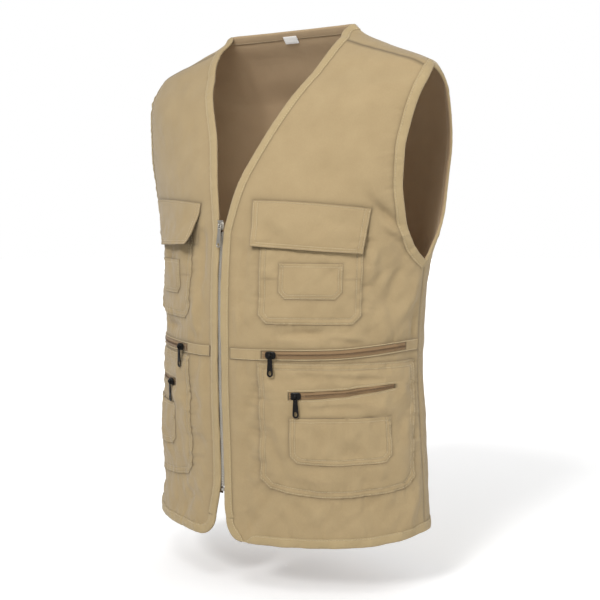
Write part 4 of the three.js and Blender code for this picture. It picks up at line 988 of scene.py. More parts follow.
def panel(name, around, z, side, weave, nodes, out, seam, keep=None):
    """Body cloth with its inside in the second material, a lighter copy of the khaki: painted light on the
    shaded inside.
    """
    outer = cloth(around, z, side, CLOTH_HALF)
    inner = cloth(around, z, side, -CLOTH_HALF)
    obj = shell(name, outer, inner, weave, out, KHAKI, keep, seam=seam, under=0.0)
    obj.data.materials.append(KHAKI_INSIDE_PAINTED_LIGHT)
    count = grid_cells(*around.shape, keep).shape[0]
    index = np.zeros(len(obj.data.polygons), np.int32)
    index[count:2 * count] = 1
    obj.data.polygons.foreach_set("material_index", index)
    return place_piece(obj, nodes)


def front_weave(around, z, side):
    """Cloth coordinates of a front: across and level."""
    return np.stack([around * front_total(np.minimum(z, 0)) * side, z, np.zeros_like(z)], -1)


def shade_beside(points, across, z, amount=0.5, reach=2.2):
    """Painted shade that fades away from a line."""
    distance, _ = along_line(points, across, z)
    return amount * np.exp(-distance / reach)


def front_painted_shade(around, z, side):
    """Painted shade beside everything that is sewn on a front, and in its own seams."""
    level = np.minimum(z, 0)
    across = around * front_total(level)
    seam = np.zeros(z.shape)
    for shape in (CHEST, LOWER):
        seam = np.maximum(seam, shade_beside(closed_frame(shape), across, z))
    for offset in (STRIP["half"], -STRIP["half"]):
        line = np.array([(a, waist_at(a) + offset) for a in np.linspace(STRIP["inner"], STRIP["outer"], 14)])
        seam = np.maximum(seam, shade_beside(line, across, z, 0.55))
    t, down = np.meshgrid(np.linspace(0, 1, 12), np.array([0.0, 1.0]), indexing="ij")
    a, b, _ = flap_place(t, down, side)
    outline = np.concatenate([np.stack([a[:, 0], b[:, 0]], 1), np.stack([a[::-1, 1], b[::-1, 1]], 1)])
    outline = np.concatenate([outline, outline[:1]])
    seam = np.maximum(seam, shade_beside(outline, across, z, 0.7, 2.6))
    hole = inset_line(armhole_line(), BAND_WIDTH)
    seam = np.maximum(seam, shade_beside(hole, across, z, 0.6, 1.8))
    edge = edge_line(side) + np.array([BAND_WIDTH, 0])
    seam = np.maximum(seam, shade_beside(edge, across, z, 0.55, 1.6))
    run = front_total(level) - across
    return np.maximum(seam, 0.7 * np.exp(-run / 1.2) * (z < ARMPIT))


def back_painted_shade(around, z):
    """Painted shade in the side seams and beside the hem band."""
    run = (np.clip(around, 1, 2) - 1) * back_total(np.minimum(z, 0))
    seam = 0.7 * np.exp(-run / 1.2) * (z < ARMPIT)
    hem = hem_level(around) + BAND_WIDTH
    return np.maximum(seam, 0.55 * np.exp(-np.abs(z - hem) / 1.6))


def first_row(seam):
    """Painted shade in the forward shoulder seam, the first row of a grid."""
    seam[0] = 1.0
    seam[1] = np.maximum(seam[1], 0.45)
    return seam


def front_panels():
    """Upper and lower cloth of both fronts."""
    made = {}
    for side, word in SIDES.items():
        for part, places in (("upper", upper_front_places), ("lower", lower_front_places)):
            around, z = places(side)
            seam = front_painted_shade(around, z, side)
            if part == "upper":
                seam = first_row(seam)
            made[part, word] = panel(f"{part}_front_cloth_{word}", around, z, side,
                                     front_weave(around, z, side), [f"{part}_front_{word}"],
                                     (side * 0.5, -1, 0), seam)
    for part, size in (("upper", (0.3, 0.4)), ("lower", (0.29, 0.24))):
        for word in SIDES.values():
            hang(made[part, word], *size)


def back_panel():
    """Back cloth in one grid over both halves, open where the neck hole parts them."""
    around, z = back_places()
    both_round = np.concatenate([around[:, ::-1], around[:, 1:]], 1)
    both_z = np.concatenate([z[:, ::-1], z[:, 1:]], 1)
    side = np.concatenate([np.full(around.shape, LEFT), np.full(around[:, 1:].shape, RIGHT)], 1)
    run = (2 - both_round) * back_total(np.minimum(both_z, 0))
    weave = np.stack([run * side, both_z, np.zeros_like(both_z)], -1)
    neck = around[:, 0] < 1.995
    keep = np.ones((both_z.shape[0] - 1, both_z.shape[1] - 1), bool)
    keep[neck[:-1] | neck[1:], around.shape[1] - 1] = False
    return panel("back_cloth", both_round, both_z, side, weave, ["back_panel"], (0, 1, 0.2),
                 first_row(back_painted_shade(both_round, both_z)), keep)


# Bindings.
def surface_inset(around, z, side, inward_hint):
    """Steps in round and level that lead one millimetre in from an edge, square to it."""
    point, out, _ = body_frame(around, z, side)
    inward = normalized(np.cross(out, np.gradient(point, axis=0)))
    round_step = 0.01
    level_step = np.where(z > -3, -2.0, 2.0)
    per_round = (body_point(around + round_step, z, side) - point) / round_step
    per_level = (body_point(around, z + level_step, side) - point) / level_step[..., None]
    hint = per_round * inward_hint[0][..., None] + per_level * inward_hint[1][..., None]
    inward = inward * np.sign((inward * hint).sum(-1, keepdims=True))
    rr = (per_round * per_round).sum(-1)
    rl = (per_round * per_level).sum(-1)
    ll = (per_level * per_level).sum(-1)
    on_round = (inward * per_round).sum(-1)
    on_level = (inward * per_level).sum(-1)
    det = rr * ll - rl * rl
    d_round = (on_round * ll - on_level * rl) / det
    d_level = (on_level * rr - on_round * rl) / det
    reached = np.linalg.norm(body_point(around + d_round, z + d_level, side) - point, axis=-1)
    scale = 1 / np.maximum(reached, 1e-6)
    return smoothed(d_round * scale), smoothed(d_level * scale), inward


def smoothed(values, passes=12):
    """Evens out a row of numbers in place, all but its ends."""
    for _ in range(passes):
        values[1:-1] = (values[:-2] + 2 * values[1:-1] + values[2:]) / 4
    return values


def band_rings(around, z, side, inset, puff):
    """Rings of corners of a binding, one at each place of its edge."""
    d_round, d_level, inward = inset
    rings = []
    for distance, height in BAND_PROFILE:
        inside = max(distance, 0.0)
        here_round = around + d_round * inside
        here_z = np.minimum(z + d_level * inside, -0.2)
        _, out, _ = body_frame(here_round, here_z, side)
        fullness = math.sin(math.pi * min(1.0, max(0.0, (distance + 1) / BAND_WIDTH)))
        if height <= 0:
            fullness *= 0.5
        lift = height + cloth_height(here_round, here_z, side) + puff * fullness
        point = body_point(here_round, here_z, side) + out * lift[:, None]
        if distance < 0:
            point = point + normalized(inward) * distance
        rings.append(point)
    return np.stack(rings, 1)


def band_shade(z):
    """Painted shade of a binding: its edges, the stitch groove, and the inside near the neck."""
    heights = np.array([height for _, height in BAND_PROFILE])
    inside = np.where(heights < 0, 0.3, 0.0) * (z > -70)[:, None]
    lines = np.zeros(len(BAND_PROFILE))
    lines[[0, -5]] = 1.0
    lines[BAND_GROOVE] = 0.35
    return np.maximum(inside, lines).ravel()


def band_stitches(around, z, side):
    """Stitch lines on the outer and the inner face of a binding, with outward directions."""
    _, out, _ = body_frame(around, np.minimum(z, 0), side)
    middle = body_point(around, z, side)
    heights = BAND_STITCH_HEIGHT + cloth_height(around, z, side)
    return [(middle + out * heights[:, None], out),
            (middle + out * (heights - BAND_STITCH_DROP)[:, None], -out)]


def band_piece(name, around, z, side, hint, seed, nodes, closed=False):
    """Binding along edge places and its stitch lines. Hint tells which way is inward."""
    side = np.broadcast_to(np.asarray(side, float), around.shape)
    inset = surface_inset(around, z, side, hint)
    run = run_along(body_point(around, z, side))
    puff = 0.32 * ripple(run, seed, (8.1, 11.7, 17.3, 31.0), (0.4, 0.7, 0.6, 0.5))
    rings = band_rings(around, z, side, inset, puff)
    count, sides = rings.shape[:2]
    faces = tube_faces(count, sides, closed)[:1 if closed else 2]
    verts = rings.reshape(-1, 3)
    middle, top = count // 2, 7
    first = middle * sides + top
    a, b, c = verts[first], verts[first + 1], verts[first + sides]
    here = slice(middle, middle + 1)
    _, out, _ = body_frame(around[here], z[here], side[here])
    if np.dot(np.cross(b - a, c - a), out[0]) < 0:
        faces = [f[:, ::-1] for f in faces]
    distances = np.array([distance for distance, _ in BAND_PROFILE])
    weave = np.stack([np.repeat(run, sides), np.tile(distances, count), np.zeros(count * sides)], 1)
    obj = place_piece(make_object(name, verts, faces, BINDING, weave, 60, band_shade(z)), nodes)
    # Inner faces of the binding get the lighter inside copy of the khaki: painted light.
    obj.data.materials.append(KHAKI_INSIDE_PAINTED_LIGHT)
    segment = np.arange(len(obj.data.polygons)) % sides
    inner = (segment >= BAND_INNER_FACES[0]) & (segment <= BAND_INNER_FACES[1])
    obj.data.polygons.foreach_set("material_index", inner.astype(np.int32))
    d_round, d_level, _ = inset
    return obj, band_stitches(around + d_round * BAND_STITCH_AT, z + d_level * BAND_STITCH_AT, side)


def fine_path(around, z, side, step=2.4):
    """Path resampled to even steps along the cloth."""
    run = run_along(body_point(around, z, side))
    at = np.linspace(0, run[-1], int(run[-1] / step) + 1)
    return np.interp(at, run, around), np.interp(at, run, z)


def both_sides(left, right):
    """Fine path along the left places and back along the right ones, with its sides."""
    left_round, left_z = fine_path(*left, LEFT)
    right_round, right_z = fine_path(*right, RIGHT)
    around = np.concatenate([left_round, right_round[::-1][1:]])
    z = np.concatenate([left_z, right_z[::-1][1:]])
    return around, z, np.concatenate([np.full(len(left_z), LEFT), np.full(len(right_z) - 1, RIGHT)])


def neck_half(side):
    """Edge places of one side from the hem corner to the centre back."""
    line = edge_line(side)
    around = line[:, 0] / front_total(line[:, 1])
    z = line[:, 1]
    keep = z < -21
    shoulder = [(row[0], row[1]) for row in SHOULDER]
    first = (float(neck_across(-21) / front_total(-21)), -21.0)
    curve = [first] + shoulder
    index = np.arange(len(curve))
    at = np.linspace(0, len(curve) - 1, 80)
    top_round = smooth_curve(list(zip(index, [c[0] for c in curve])))(at)
    top_z = smooth_curve(list(zip(index, [c[1] for c in curve])))(at)
    return np.concatenate([around[keep], top_round]), np.concatenate([z[keep], top_z])


def hem_half(side):
    """Edge places of one side round the hem corner and along the hem to the centre back."""
    angle = np.linspace(0, math.pi / 2, 24)
    corner_z = CORNER_START - CORNER_RADIUS * np.sin(angle)
    across = edge_across[side](CORNER_START) + CORNER_RADIUS - CORNER_RADIUS * np.cos(angle)
    corner = across / front_total(corner_z)
    rest = np.linspace(corner[-1], 2, 220)[1:]
    return np.concatenate([corner, rest]), np.concatenate([corner_z, hem_level(rest)])


def armhole_places(side):
    """Edge places round an armhole, up the front and down the back, without the first one again."""
    front_z = np.linspace(ARMPIT, -61, 120)
    back_z = np.linspace(-61, ARMPIT, 150)[1:]
    around = np.concatenate([armhole_front(front_z), armhole_back(back_z)])
    around, z = fine_path(around, np.concatenate([front_z, back_z]), side)
    return around[:-1], z[:-1]


def bindings():
    """Neck and front band, hem band and armhole bands with their stitches."""
    around, z, side = both_sides(neck_half(LEFT), neck_half(RIGHT))
    hint = (np.where(z < -60, 1.0, np.where(z < -12, 0.3, 0.0)), np.where(z > -60, -1.0, 0.0))
    made = [band_piece("neck_and_front_binding", around, z, side, hint, 41, ["front_and_neck_band"])]
    around, z, side = both_sides(hem_half(LEFT), hem_half(RIGHT))
    hint = (np.where(around < 0.14, 1.0, 0.0), np.full(len(z), 0.05))
    made.append(band_piece("hem_binding", around, z, side, hint, 42, ["hem_band"]))
    for one, word in SIDES.items():
        around, z = armhole_places(one)
        low, high = z < ARMPIT + 12, z > -75
        hint = (np.where(around < 1, -1.0, 1.0) * np.where(low | high, 0.3, 1.0),
                np.where(low, -100.0, np.where(high, 1.0, 0.0)))
        made.append(band_piece(f"armhole_binding_{word}", around, z, one, hint, 43 + one,
                               [f"armhole_band_{word}"], closed=True))
    stitches = stitch_piece("binding_stitches", [row for _, rows in made for row in rows])
    return [obj for obj, _ in made] + [stitches]


# Layers sewn on the fronts.
def clustered(length, step=2.6):
    """Shares of a length, closer together near both sewn ends."""
    near = np.array([d for d in NEAR_EDGE if d < length / 2 - 0.5])
    middle = np.linspace(near[-1], length - near[-1], max(3, int((length - 2 * near[-1]) / step)))[1:-1]
    return np.concatenate([near, middle, length - near[::-1]]) / length


def bell(distance, width):
    """One at no distance, and close to nothing two widths away."""
    return np.exp(-(distance / width) ** 2)


def sewn(distance, where, seed, puff, rows, pucker_amount):
    """Height of a layer over what it is sewn on, from the distance to its sewn edge."""
    height = 1.1 - 0.85 * np.exp(-distance / 0.6)
    for row in rows:
        height = height - 0.5 * bell(distance - row, 0.85)
    height = height + puff * smooth_step((distance - rows[-1]) / 24)
    return height + pucker_amount * ripple(where, seed) * np.exp(-np.abs(distance - 4) / 7)


def free_edge(distance, row=None):
    """Lower face of a layer near a free edge, with its hem stitch."""
    height = -0.6 * np.exp(-distance / 0.5)
    if row:
        height = height - 0.4 * bell(distance - row, 0.9)
    return height


def chest_height(across, z, side):
    """Face of a chest pocket with its pressed fold."""
    distance, where = along_line(pocket_frame(CHEST), across, z)
    fold = -0.5 * bell(z - CHEST_FOLD, 0.9) + 0.35 * bell(z - CHEST_FOLD - 2.2, 1.6)
    layer = sewn(distance, where, 501 + side, 0.8, CHEST["rows"], 0.5)
    return LAYER_FOOT - 0.05 + layer + free_edge(CHEST["top"] - z) + fold


def card_height(across, z, side):
    """Face of the card pocket on a chest pocket."""
    distance, where = along_line(pocket_frame(CARD), across, z)
    top = free_edge(CARD["top"] - z, CARD_HEM_AT)
    return chest_height(across, z, side) + sewn(distance, where, 511 + side, 0.5, CARD["rows"], 0.22) + top


def at_least(value, low):
    """The larger of both, with a soft bend between them."""
    return (value + low + np.hypot(value - low, 0.25)) / 2


def lower_height(across, z, side):
    """Face of a big pocket: folds, zip window and sewn edges."""
    distance, where = along_line(closed_frame(LOWER), across, z)
    near_zip = np.maximum(np.abs(z - zip_level(across)) - zip_half(across), 0)
    beside = np.maximum(np.maximum(ZIP_LINE[0][0] - across, across - ZIP_LINE[-1][0]), 0)
    window = np.hypot(near_zip, beside)
    height = LAYER_FOOT - 0.05 + sewn(distance, where, 521 + side, 1.2, LOWER["rows"], 0.6)
    calm = smooth_step((window - 3) / 8) * smooth_step((distance - 4) / 10)
    beside_tab = 1 - bell(across - LOWER_SLIDER_AT, 14) * bell(z + 480, 26)
    folds = POCKET_FOLD_SCALE * fold_height(LOWER_POCKET_FOLDS[side], across, z) + POCKET_FULLNESS
    height = height + folds * calm * beside_tab
    height = height - 0.55 * np.exp(-window / 0.7) - 0.5 * bell(window - WINDOW_STITCH_AT, 0.8)
    height = height + 0.25 * ripple(across, 531 + side) * np.exp(-np.abs(window - 5) / 6)
    return at_least(height, LAYER_FOOT + 0.2)


def small_height(across, z, side):
    """Face of the small pocket on a big pocket."""
    distance, where = along_line(pocket_frame(SMALL), across, z)
    top = free_edge(SMALL["top"] - z, SMALL_HEM_AT)
    creases = 0.0
    for at, depth in SMALL_CREASES:
        creases = creases + depth * bell(across - at - 0.1 * (z + 515), 5.0)
    inside = smooth_step((distance - 6) / 10)
    layer = sewn(distance, where, 541 + side, 0.6, SMALL["rows"], 0.4)
    return lower_height(across, z, side) + layer + top + creases * inside


def closed_frame(shape):
    """Outline of a pocket that is sewn on all sides."""
    points = pocket_frame(shape)
    return np.concatenate([points, points[:1]])


def patch_places(shape):
    """Across and level of a fine grid over a patch with cut lower corners."""
    s = clustered(shape["outer"] - shape["inner"])[None, :]
    down = clustered(shape["top"] - shape["bottom"])[:, None]
    level = shape["top"] + (shape["bottom"] - shape["top"]) * down
    return low_corners(shape, level, s, down)


def layer_piece(name, across, z, side, face, foot, nodes, keep=None, material=KHAKI, seam=None):
    """Layer on a front between the heights of its face and its foot."""
    around = round_for(across, z)
    outer = cloth(around, z, side, face)
    inner = cloth(around, z, side, foot)
    weave = np.stack([across * side + 3.7, z + 1.9, np.zeros_like(z)], -1)
    if seam is None:
        seam = rim(z.shape)
    obj = shell(name, outer, inner, weave, (side * 0.5, -1, 0), material, keep, 60, seam)
    return place_piece(obj, nodes)


def rim(shape):
    """Painted shade along the edges of a grid: one on the outer edge, less half a step further in."""
    seam = np.zeros(shape)
    seam[1:-1, [1, -2]] = 0.45
    seam[[1, -2], 1:-1] = 0.45
    seam[:, [0, -1]] = 1
    seam[[0, -1], :] = 1
    return seam


def groove_shade(distance, rows):
    """Painted shade in the grooves of stitch rows."""
    return sum(0.3 * bell(distance - row, 0.8) for row in rows)


def patch_piece(kind, shape, side, height, under):
    """Pocket patch with its height and the height of what lies under it."""
    word = SIDES[side]
    across, z = patch_places(shape)
    face = height(across, z, side)
    foot = np.minimum(under(across, z, side) + 0.08, face - 0.35)
    width, length = (shape["outer"] - shape["inner"]) * MM, (shape["top"] - shape["bottom"]) * MM
    distance, _ = along_line(pocket_frame(shape), across, z)
    # Painted shade along the patch's edges and stitch grooves; for the chest pocket also under the flap's
    # lower edge, in the pressed fold and beside the card pocket.
    seam = np.maximum(rim(z.shape), groove_shade(distance, shape["rows"]))
    if shape is CHEST:
        _, flap_low, _ = flap_place(0.0, 1.0, side)
        for shade in (smooth_step((z - flap_low + 1) / 4), 0.4 * bell(z - CHEST_FOLD, 1.0),
                      shade_beside(closed_frame(CARD), across, z, 0.5, 1.4)):
            seam = np.maximum(seam, shade)
    obj = layer_piece(f"{kind}_pocket_cloth_{word}", across, z, side, face, foot,
                      [f"{kind}_pocket_{word}"], seam=seam)
    hang(obj, width + 0.002, length + 0.004)


def bare_cloth(across, z, side):
    """Outer face of the cloth under a patch."""
    return np.full(np.shape(across), CLOTH_HALF)


def low_corners(shape, level, share, down):
    """Across and level below the window of a pocket, with its slanting edge and cut corners."""
    outer = shape["outer"] + (shape.get("outer_low", shape["outer"]) - shape["outer"]) * down
    cut = shape["cut"] * np.clip((shape["bottom"] + shape["cut"] - level) / shape["cut"], 0, 1)
    across = shape["inner"] + cut + (outer - shape["inner"] - 2 * cut) * share
    return across, level - shape["sag"] * 4 * share * (1 - share) * down


def lower_pocket(side, word):
    """Big pocket: rows above its zip window, across the window and below it."""
    width = LOWER["outer"] - LOWER["inner"]
    s = clustered(width) * width + LOWER["inner"]
    first, last = ZIP_LINE[0][0], ZIP_LINE[-1][0]
    a, b = np.argmin(np.abs(s - first)), np.argmin(np.abs(s - last))
    s[a], s[b] = first, last
    s = s[None, :]
    above = np.array(ABOVE_WINDOW)[:, None] / ABOVE_WINDOW[-1]
    top_window = zip_level(s) + zip_half(s)
    low_window = zip_level(s) - zip_half(s)
    upper = LOWER["top"] + (top_window - LOWER["top"]) * above
    window = top_window + (low_window - top_window) * np.array([0.33, 0.67])[:, None]
    below = clustered(BELOW_WINDOW)[:, None]
    level = low_window - (low_window - LOWER["bottom"]) * below
    low_across, low_z = low_corners(LOWER, level, (s - LOWER["inner"]) / width, below)
    across = np.concatenate([np.repeat(s, len(above) + len(window), axis=0), low_across])
    z = np.concatenate([upper, window, low_z])
    top, low = len(above) - 1, len(above) + len(window)
    keep = np.ones((len(z) - 1, z.shape[1] - 1), bool)
    keep[top:low, a:b] = False
    distance, _ = along_line(closed_frame(LOWER), across, z)
    # Painted shade along the edges, in the stitch grooves, beside the small pocket and all round the zip
    # window.
    seam = np.maximum(rim(z.shape), groove_shade(distance, LOWER["rows"]))
    seam = np.maximum(seam, shade_beside(closed_frame(SMALL), across, z, 0.55, 1.6))
    seam[top:low + 1, a:b + 1] = 1
    obj = layer_piece(f"lower_pocket_cloth_{word}", across, z, side, lower_height(across, z, side),
                      np.full(z.shape, LAYER_FOOT), [f"lower_pocket_{word}"], keep, seam=seam)
    hang(obj, 0.212, 0.16)


def strip_height(offset):
    """Face of the waist strip beside its window."""
    edge = STRIP["half"] - np.abs(offset)
    window = np.maximum(np.abs(offset) - WAIST_WINDOW_HALF, 0)
    return LAYER_FACE - 0.7 * np.exp(-edge / 0.4) - 0.25 * np.exp(-window / 0.3)


def waist_strip(side, word):
    """Strip over the waist seam with the window of the upper zip."""
    offsets = np.array([*STRIP_ROWS, 0, *(-row for row in STRIP_ROWS[::-1])])[:, None]
    before = np.linspace(STRIP["inner"], WAIST_WINDOW[0], 18)
    window = np.linspace(*WAIST_WINDOW, 76)
    after = np.linspace(WAIST_WINDOW[1], STRIP["outer"], 11)
    across = np.concatenate([before, window[1:], after[1:]])[None, :]
    z = waist_at(across) + offsets
    top = STRIP_ROWS.index(WAIST_WINDOW_HALF)
    low = len(offsets) - 1 - top
    first = len(before) - 1
    last = first + len(window) - 1
    keep = np.ones((len(offsets) - 1, across.shape[1] - 1), bool)
    keep[top:low, first:last] = False
    solid = (across <= WAIST_WINDOW[0]) | (across >= WAIST_WINDOW[1])
    plain = LAYER_FACE - 0.7 * np.exp(-(STRIP["half"] - np.abs(offsets)) / 0.4)
    face = np.where(solid, plain, strip_height(offsets))
    # Painted shade along the strip's edges and all round its window.
    seam = np.zeros(z.shape)
    seam[[0, -1]] = 1
    seam[[1, -2]] = 0.5
    seam[:, [0, -1]] = 1
    seam[top:low + 1, first:last + 1] = 1
    obj = layer_piece(f"waist_strip_cloth_{word}", across * np.ones_like(z), z, side, face,
                      np.full(z.shape, LAYER_FOOT), [f"waist_strip_{word}"], keep, seam=seam)
    hang(obj, 0.254, 0.014)


def flap_place(t, down, side):
    """Across, level and height of the middle of a chest flap."""
    shape = FLAPS[side]
    inner = FLAP_TOP[0] + (FLAP_BOTTOM[0] - FLAP_TOP[0]) * down
    outer = FLAP_TOP[1] + (FLAP_BOTTOM[1] - FLAP_TOP[1]) * down
    top = shape["top"][0] + (shape["top"][1] - shape["top"][0]) * t + 2.0 * 4 * t * (1 - t)
    bottom = shape["bottom"][0] + (shape["bottom"][1] - shape["bottom"][0]) * t
    fade = (1 - t) ** 2
    rise = shape["rise"][1] + (shape["rise"][0] - shape["rise"][1]) * fade
    curl = down ** 2 * fade + down * (1 - fade) if shape["rise"][0] > 10 else down
    across = inner + (outer - inner) * t
    return across, top + (bottom - top) * down, 1.5 + rise * curl


def flap_lines(t, down, side):
    """Rounded edge and stitch grooves of a flap, and its gentle waves."""
    run, drop = t * FLAP_WIDTH, down * FLAP_LENGTH
    sides = np.minimum(t, 1 - t) * FLAP_WIDTH
    low = (1 - down) * FLAP_LENGTH
    groove = 0.0
    for distance, rows in ((sides, (2.0, 7.0)), (low, (2.0, 5.0)), (drop, (2.2,))):
        for row in rows:
            groove = groove - 0.42 * bell(distance - row, 0.8)
    edge = np.minimum(np.minimum(sides, low), drop)
    waves = 1.3 * noise(run, drop, 36, 20, 700 + side) + 0.5 * noise(run, drop, 17, 11, 720 + side)
    ripples = ripple(run, 710 + side) * np.exp(-low / 8) + ripple(run, 711) * np.exp(-drop / 7)
    return groove - 0.5 * np.exp(-edge / 0.45), waves * smooth_step(down * 1.6) + 0.16 * ripples


def flap_rows():
    """Stitch rows of a flap, as shares of its width and length."""
    rows = []
    for margin, drop in ((0.015, 2.2), (0.02, FLAP_LENGTH - 2), (0.05, FLAP_LENGTH - 5)):
        rows.append((np.linspace(margin, 1 - margin, 60), np.full(60, drop / FLAP_LENGTH)))
    for distance, end in ((2, 0.95), (7, 0.9)):
        for t in (distance / FLAP_WIDTH, 1 - distance / FLAP_WIDTH):
            rows.append((np.full(30, t), np.linspace(0.05, end, 30)))
    return rows


def chest_flap(side, word):
    """Flap over a chest pocket. Gives its stitch lines."""
    t = clustered(FLAP_WIDTH)[None, :]
    down = clustered(FLAP_LENGTH)[:, None]
    across, z, lift = flap_place(t, down, side)
    groove, waves = flap_lines(t, down, side)
    obj = layer_piece(f"chest_flap_cloth_{word}", across * np.ones_like(z), z, side,
                      lift + 0.75 + groove + waves, lift - 0.65 + waves, [f"chest_flap_{word}"])
    hang(obj, 0.151, 0.064)
    lines = []
    for t, down in flap_rows():
        across, z, lift = flap_place(t, down, side)
        groove, waves = flap_lines(t, down, side)
        around = round_for(across, z)
        _, out, _ = body_frame(around, z, side)
        lines.append((cloth(around, z, side, lift + 0.9 + groove + waves), out))
    return lines


def inset_line(points, distance):
    """Line moved to its left with mitred corners."""
    way = normalized(np.diff(points, axis=0))
    left = np.stack([-way[:, 1], way[:, 0]], 1)
    corner = np.concatenate([left[:1], normalized(left[:-1] + left[1:]), left[-1:]])
    cosine = np.concatenate([[1], (corner[1:-1] * left[1:]).sum(1), [1]])
    return points + corner * (distance / cosine)[:, None]


def frame_rows(shape, side, height, closed=False):
    """Stitch rows beside the sewn edge of a pocket."""
    rows = []
    for distance in shape["rows"]:
        line = inset_line(pocket_frame(shape), distance)
        line[[0, -1], 1] -= distance if closed else 0.6
        if closed:
            line = np.concatenate([line, line[:1]])
        rows.append(surface_row(line[:, 0], line[:, 1], side, height))
    return rows


def hem_row(shape, side, height, distance, count):
    """Stitch row along the free upper edge of a pocket."""
    across = np.linspace(shape["inner"] + 2, shape["outer"] - 2, count)
    return surface_row(across, np.full(count, shape["top"] - distance), side, height)


def lower_rows(side):
    """Stitch rows of the lower pockets, the zip window and the waist strip."""
    rows = frame_rows(LOWER, side, lower_height, True) + frame_rows(SMALL, side, small_height)
    rows.append(hem_row(SMALL, side, small_height, SMALL_HEM_AT, 40))
    rows.append(hem_row(CARD, side, card_height, CARD_HEM_AT, 30))
    across = np.linspace(ZIP_LINE[0][0] - WINDOW_STITCH_AT, ZIP_LINE[-1][0] + WINDOW_STITCH_AT, 60)
    for sign in (1, -1):
        level = zip_level(across) + sign * (zip_half(across) + WINDOW_STITCH_AT)
        rows.append(surface_row(across, level, side, lower_height))
    across = np.linspace(STRIP["inner"] + 1, STRIP["outer"] - 1, 80)
    for sign in (1, -1):
        rows.append(surface_row(across, waist_at(across) + sign * STRIP_STITCH_AT, side, LAYER_FACE))
    return rows


def sewn_layers():
    """Strips, pockets and flaps with their stitches."""
    for side, word in SIDES.items():
        waist_strip(side, word)
        patch_piece("chest", CHEST, side, chest_height, bare_cloth)
        patch_piece("card", CARD, side, card_height, chest_height)
        lower_pocket(side, word)
        patch_piece("small", SMALL, side, small_height, lower_height)
        rows = chest_flap(side, word)
        rows += frame_rows(CHEST, side, chest_height) + frame_rows(CARD, side, card_height)
        stitch_piece(f"chest_stitches_{word}", rows)
        stitch_piece(f"lower_stitches_{word}", lower_rows(side))


# Zips.
def swept(name, centres, ups, outs, profile, material):
    """Body with one profile of (up, out) swept along a line."""
    profile = np.asarray(profile, float)
    rings = centres[:, None, :] + ups[:, None, :] * profile[:, :1] + outs[:, None, :] * profile[:, 1:]
    count, sides = rings.shape[:2]
    faces = tube_faces(count, sides)
    verts = rings.reshape(-1, 3)
    top = int(np.argmax(profile[:, 1]))
    a, b, c = verts[top], verts[(top + 1) % sides], verts[sides + top]
    if np.dot(np.cross(b - a, c - a), outs[0]) < 0:
        faces = [f[:, ::-1] for f in faces]
    run = run_along(centres)
    weave = np.stack([np.repeat(run, sides), np.tile(profile[:, 0], count), np.zeros(count * sides)], 1)
    return make_object(name, verts, faces, material, weave, 40)


def zip_tape(name, across, level, half, side, node):
    """Tape of a pocket zip with the two humps of its coil."""
    around = round_for(across, level)
    _, outs, ups = body_frame(around, level, side)
    profile = [(up * half, out) for up, out in COIL_PROFILE]
    obj = swept(name, cloth(around, level, side, 0.95), ups, outs, profile, TAPE)
    place_piece(obj, [node])


# A bar of the coil, a tooth of the front zip, and the faces of such a block with eight corners.
COIL_BAR = np.array([(-0.36, -0.62, -0.5), (0.36, -0.62, -0.5), (0.36, 0.62, -0.5), (-0.36, 0.62, -0.5),
                     (-0.22, -0.434, 0.42), (0.22, -0.434, 0.42), (0.22, 0.434, 0.42), (-0.22, 0.434, 0.42)])
TOOTH = np.array([(-1.35, 2.4, -0.62), (1.1, 2.4, -0.5), (1.1, 2.4, 0.5), (-1.35, 2.4, 0.62),
                  (-1.15, -0.05, -0.5), (0.85, -0.05, -0.36), (0.85, -0.05, 0.36), (-1.15, -0.05, 0.5)])
BLOCK = np.array([(3, 2, 1, 0), (4, 5, 6, 7), (0, 1, 5, 4), (1, 2, 6, 5), (2, 3, 7, 6), (3, 0, 4, 7)])


def joined_blocks(groups):
    """Corners and faces of groups of blocks, each with its own face numbers."""
    verts, quads, count = [], [], 0
    for made, faces in groups:
        numbers = count + np.arange(len(made))[:, None, None] * 8
        verts.append(made.reshape(-1, 3))
        quads.append((faces[None] + numbers).reshape(-1, 4))
        count += len(made) * 8
    return np.concatenate(verts), [np.concatenate(quads)]


def zip_coil(name, across, level, side):
    """Small cross bars of the coil on both sides of the middle line."""
    across, level = resampled(np.stack([across, level], 1), COIL_PITCH).T
    around = round_for(across, level)
    _, out, up = body_frame(around, level, side)
    way = normalized(np.cross(up, out))
    base = cloth(around, level, side, 2.42)
    groups = []
    for shift, sign in ((0, 1), (COIL_PITCH / 2, -1)):
        local = COIL_BAR + (shift, sign * 0.86, 0)
        made = (base[:, None] + way[:, None] * local[:, :1] + up[:, None] * local[:, 1:2]
                + out[:, None] * local[:, 2:])
        groups.append((made, BLOCK))
    verts, faces = joined_blocks(groups)
    place_piece(make_object(name, verts, faces, TAPE_DARK, verts, 30))


def pocket_zips():
    """Tape and coil of the waist zips and of the lower zips."""
    for side, word in SIDES.items():
        waist = np.linspace(63.5, WAIST_WINDOW[1] - 0.4, 140)
        lower = np.linspace(ZIP_LINE[0][0] + 1, ZIP_LINE[-1][0] - 2, 100)
        for kind, across, level, half in (("waist", waist, waist_at(waist), WAIST_TAPE_HALF),
                                          ("lower", lower, zip_level(lower), LOWER_TAPE_HALF)):
            zip_tape(f"{kind}_zip_tape_{word}", across, level, half, side, f"{kind}_zip_{word}")
            zip_coil(f"{kind}_zip_coil_{word}", across[COIL_AFTER:], level[COIL_AFTER:], side)


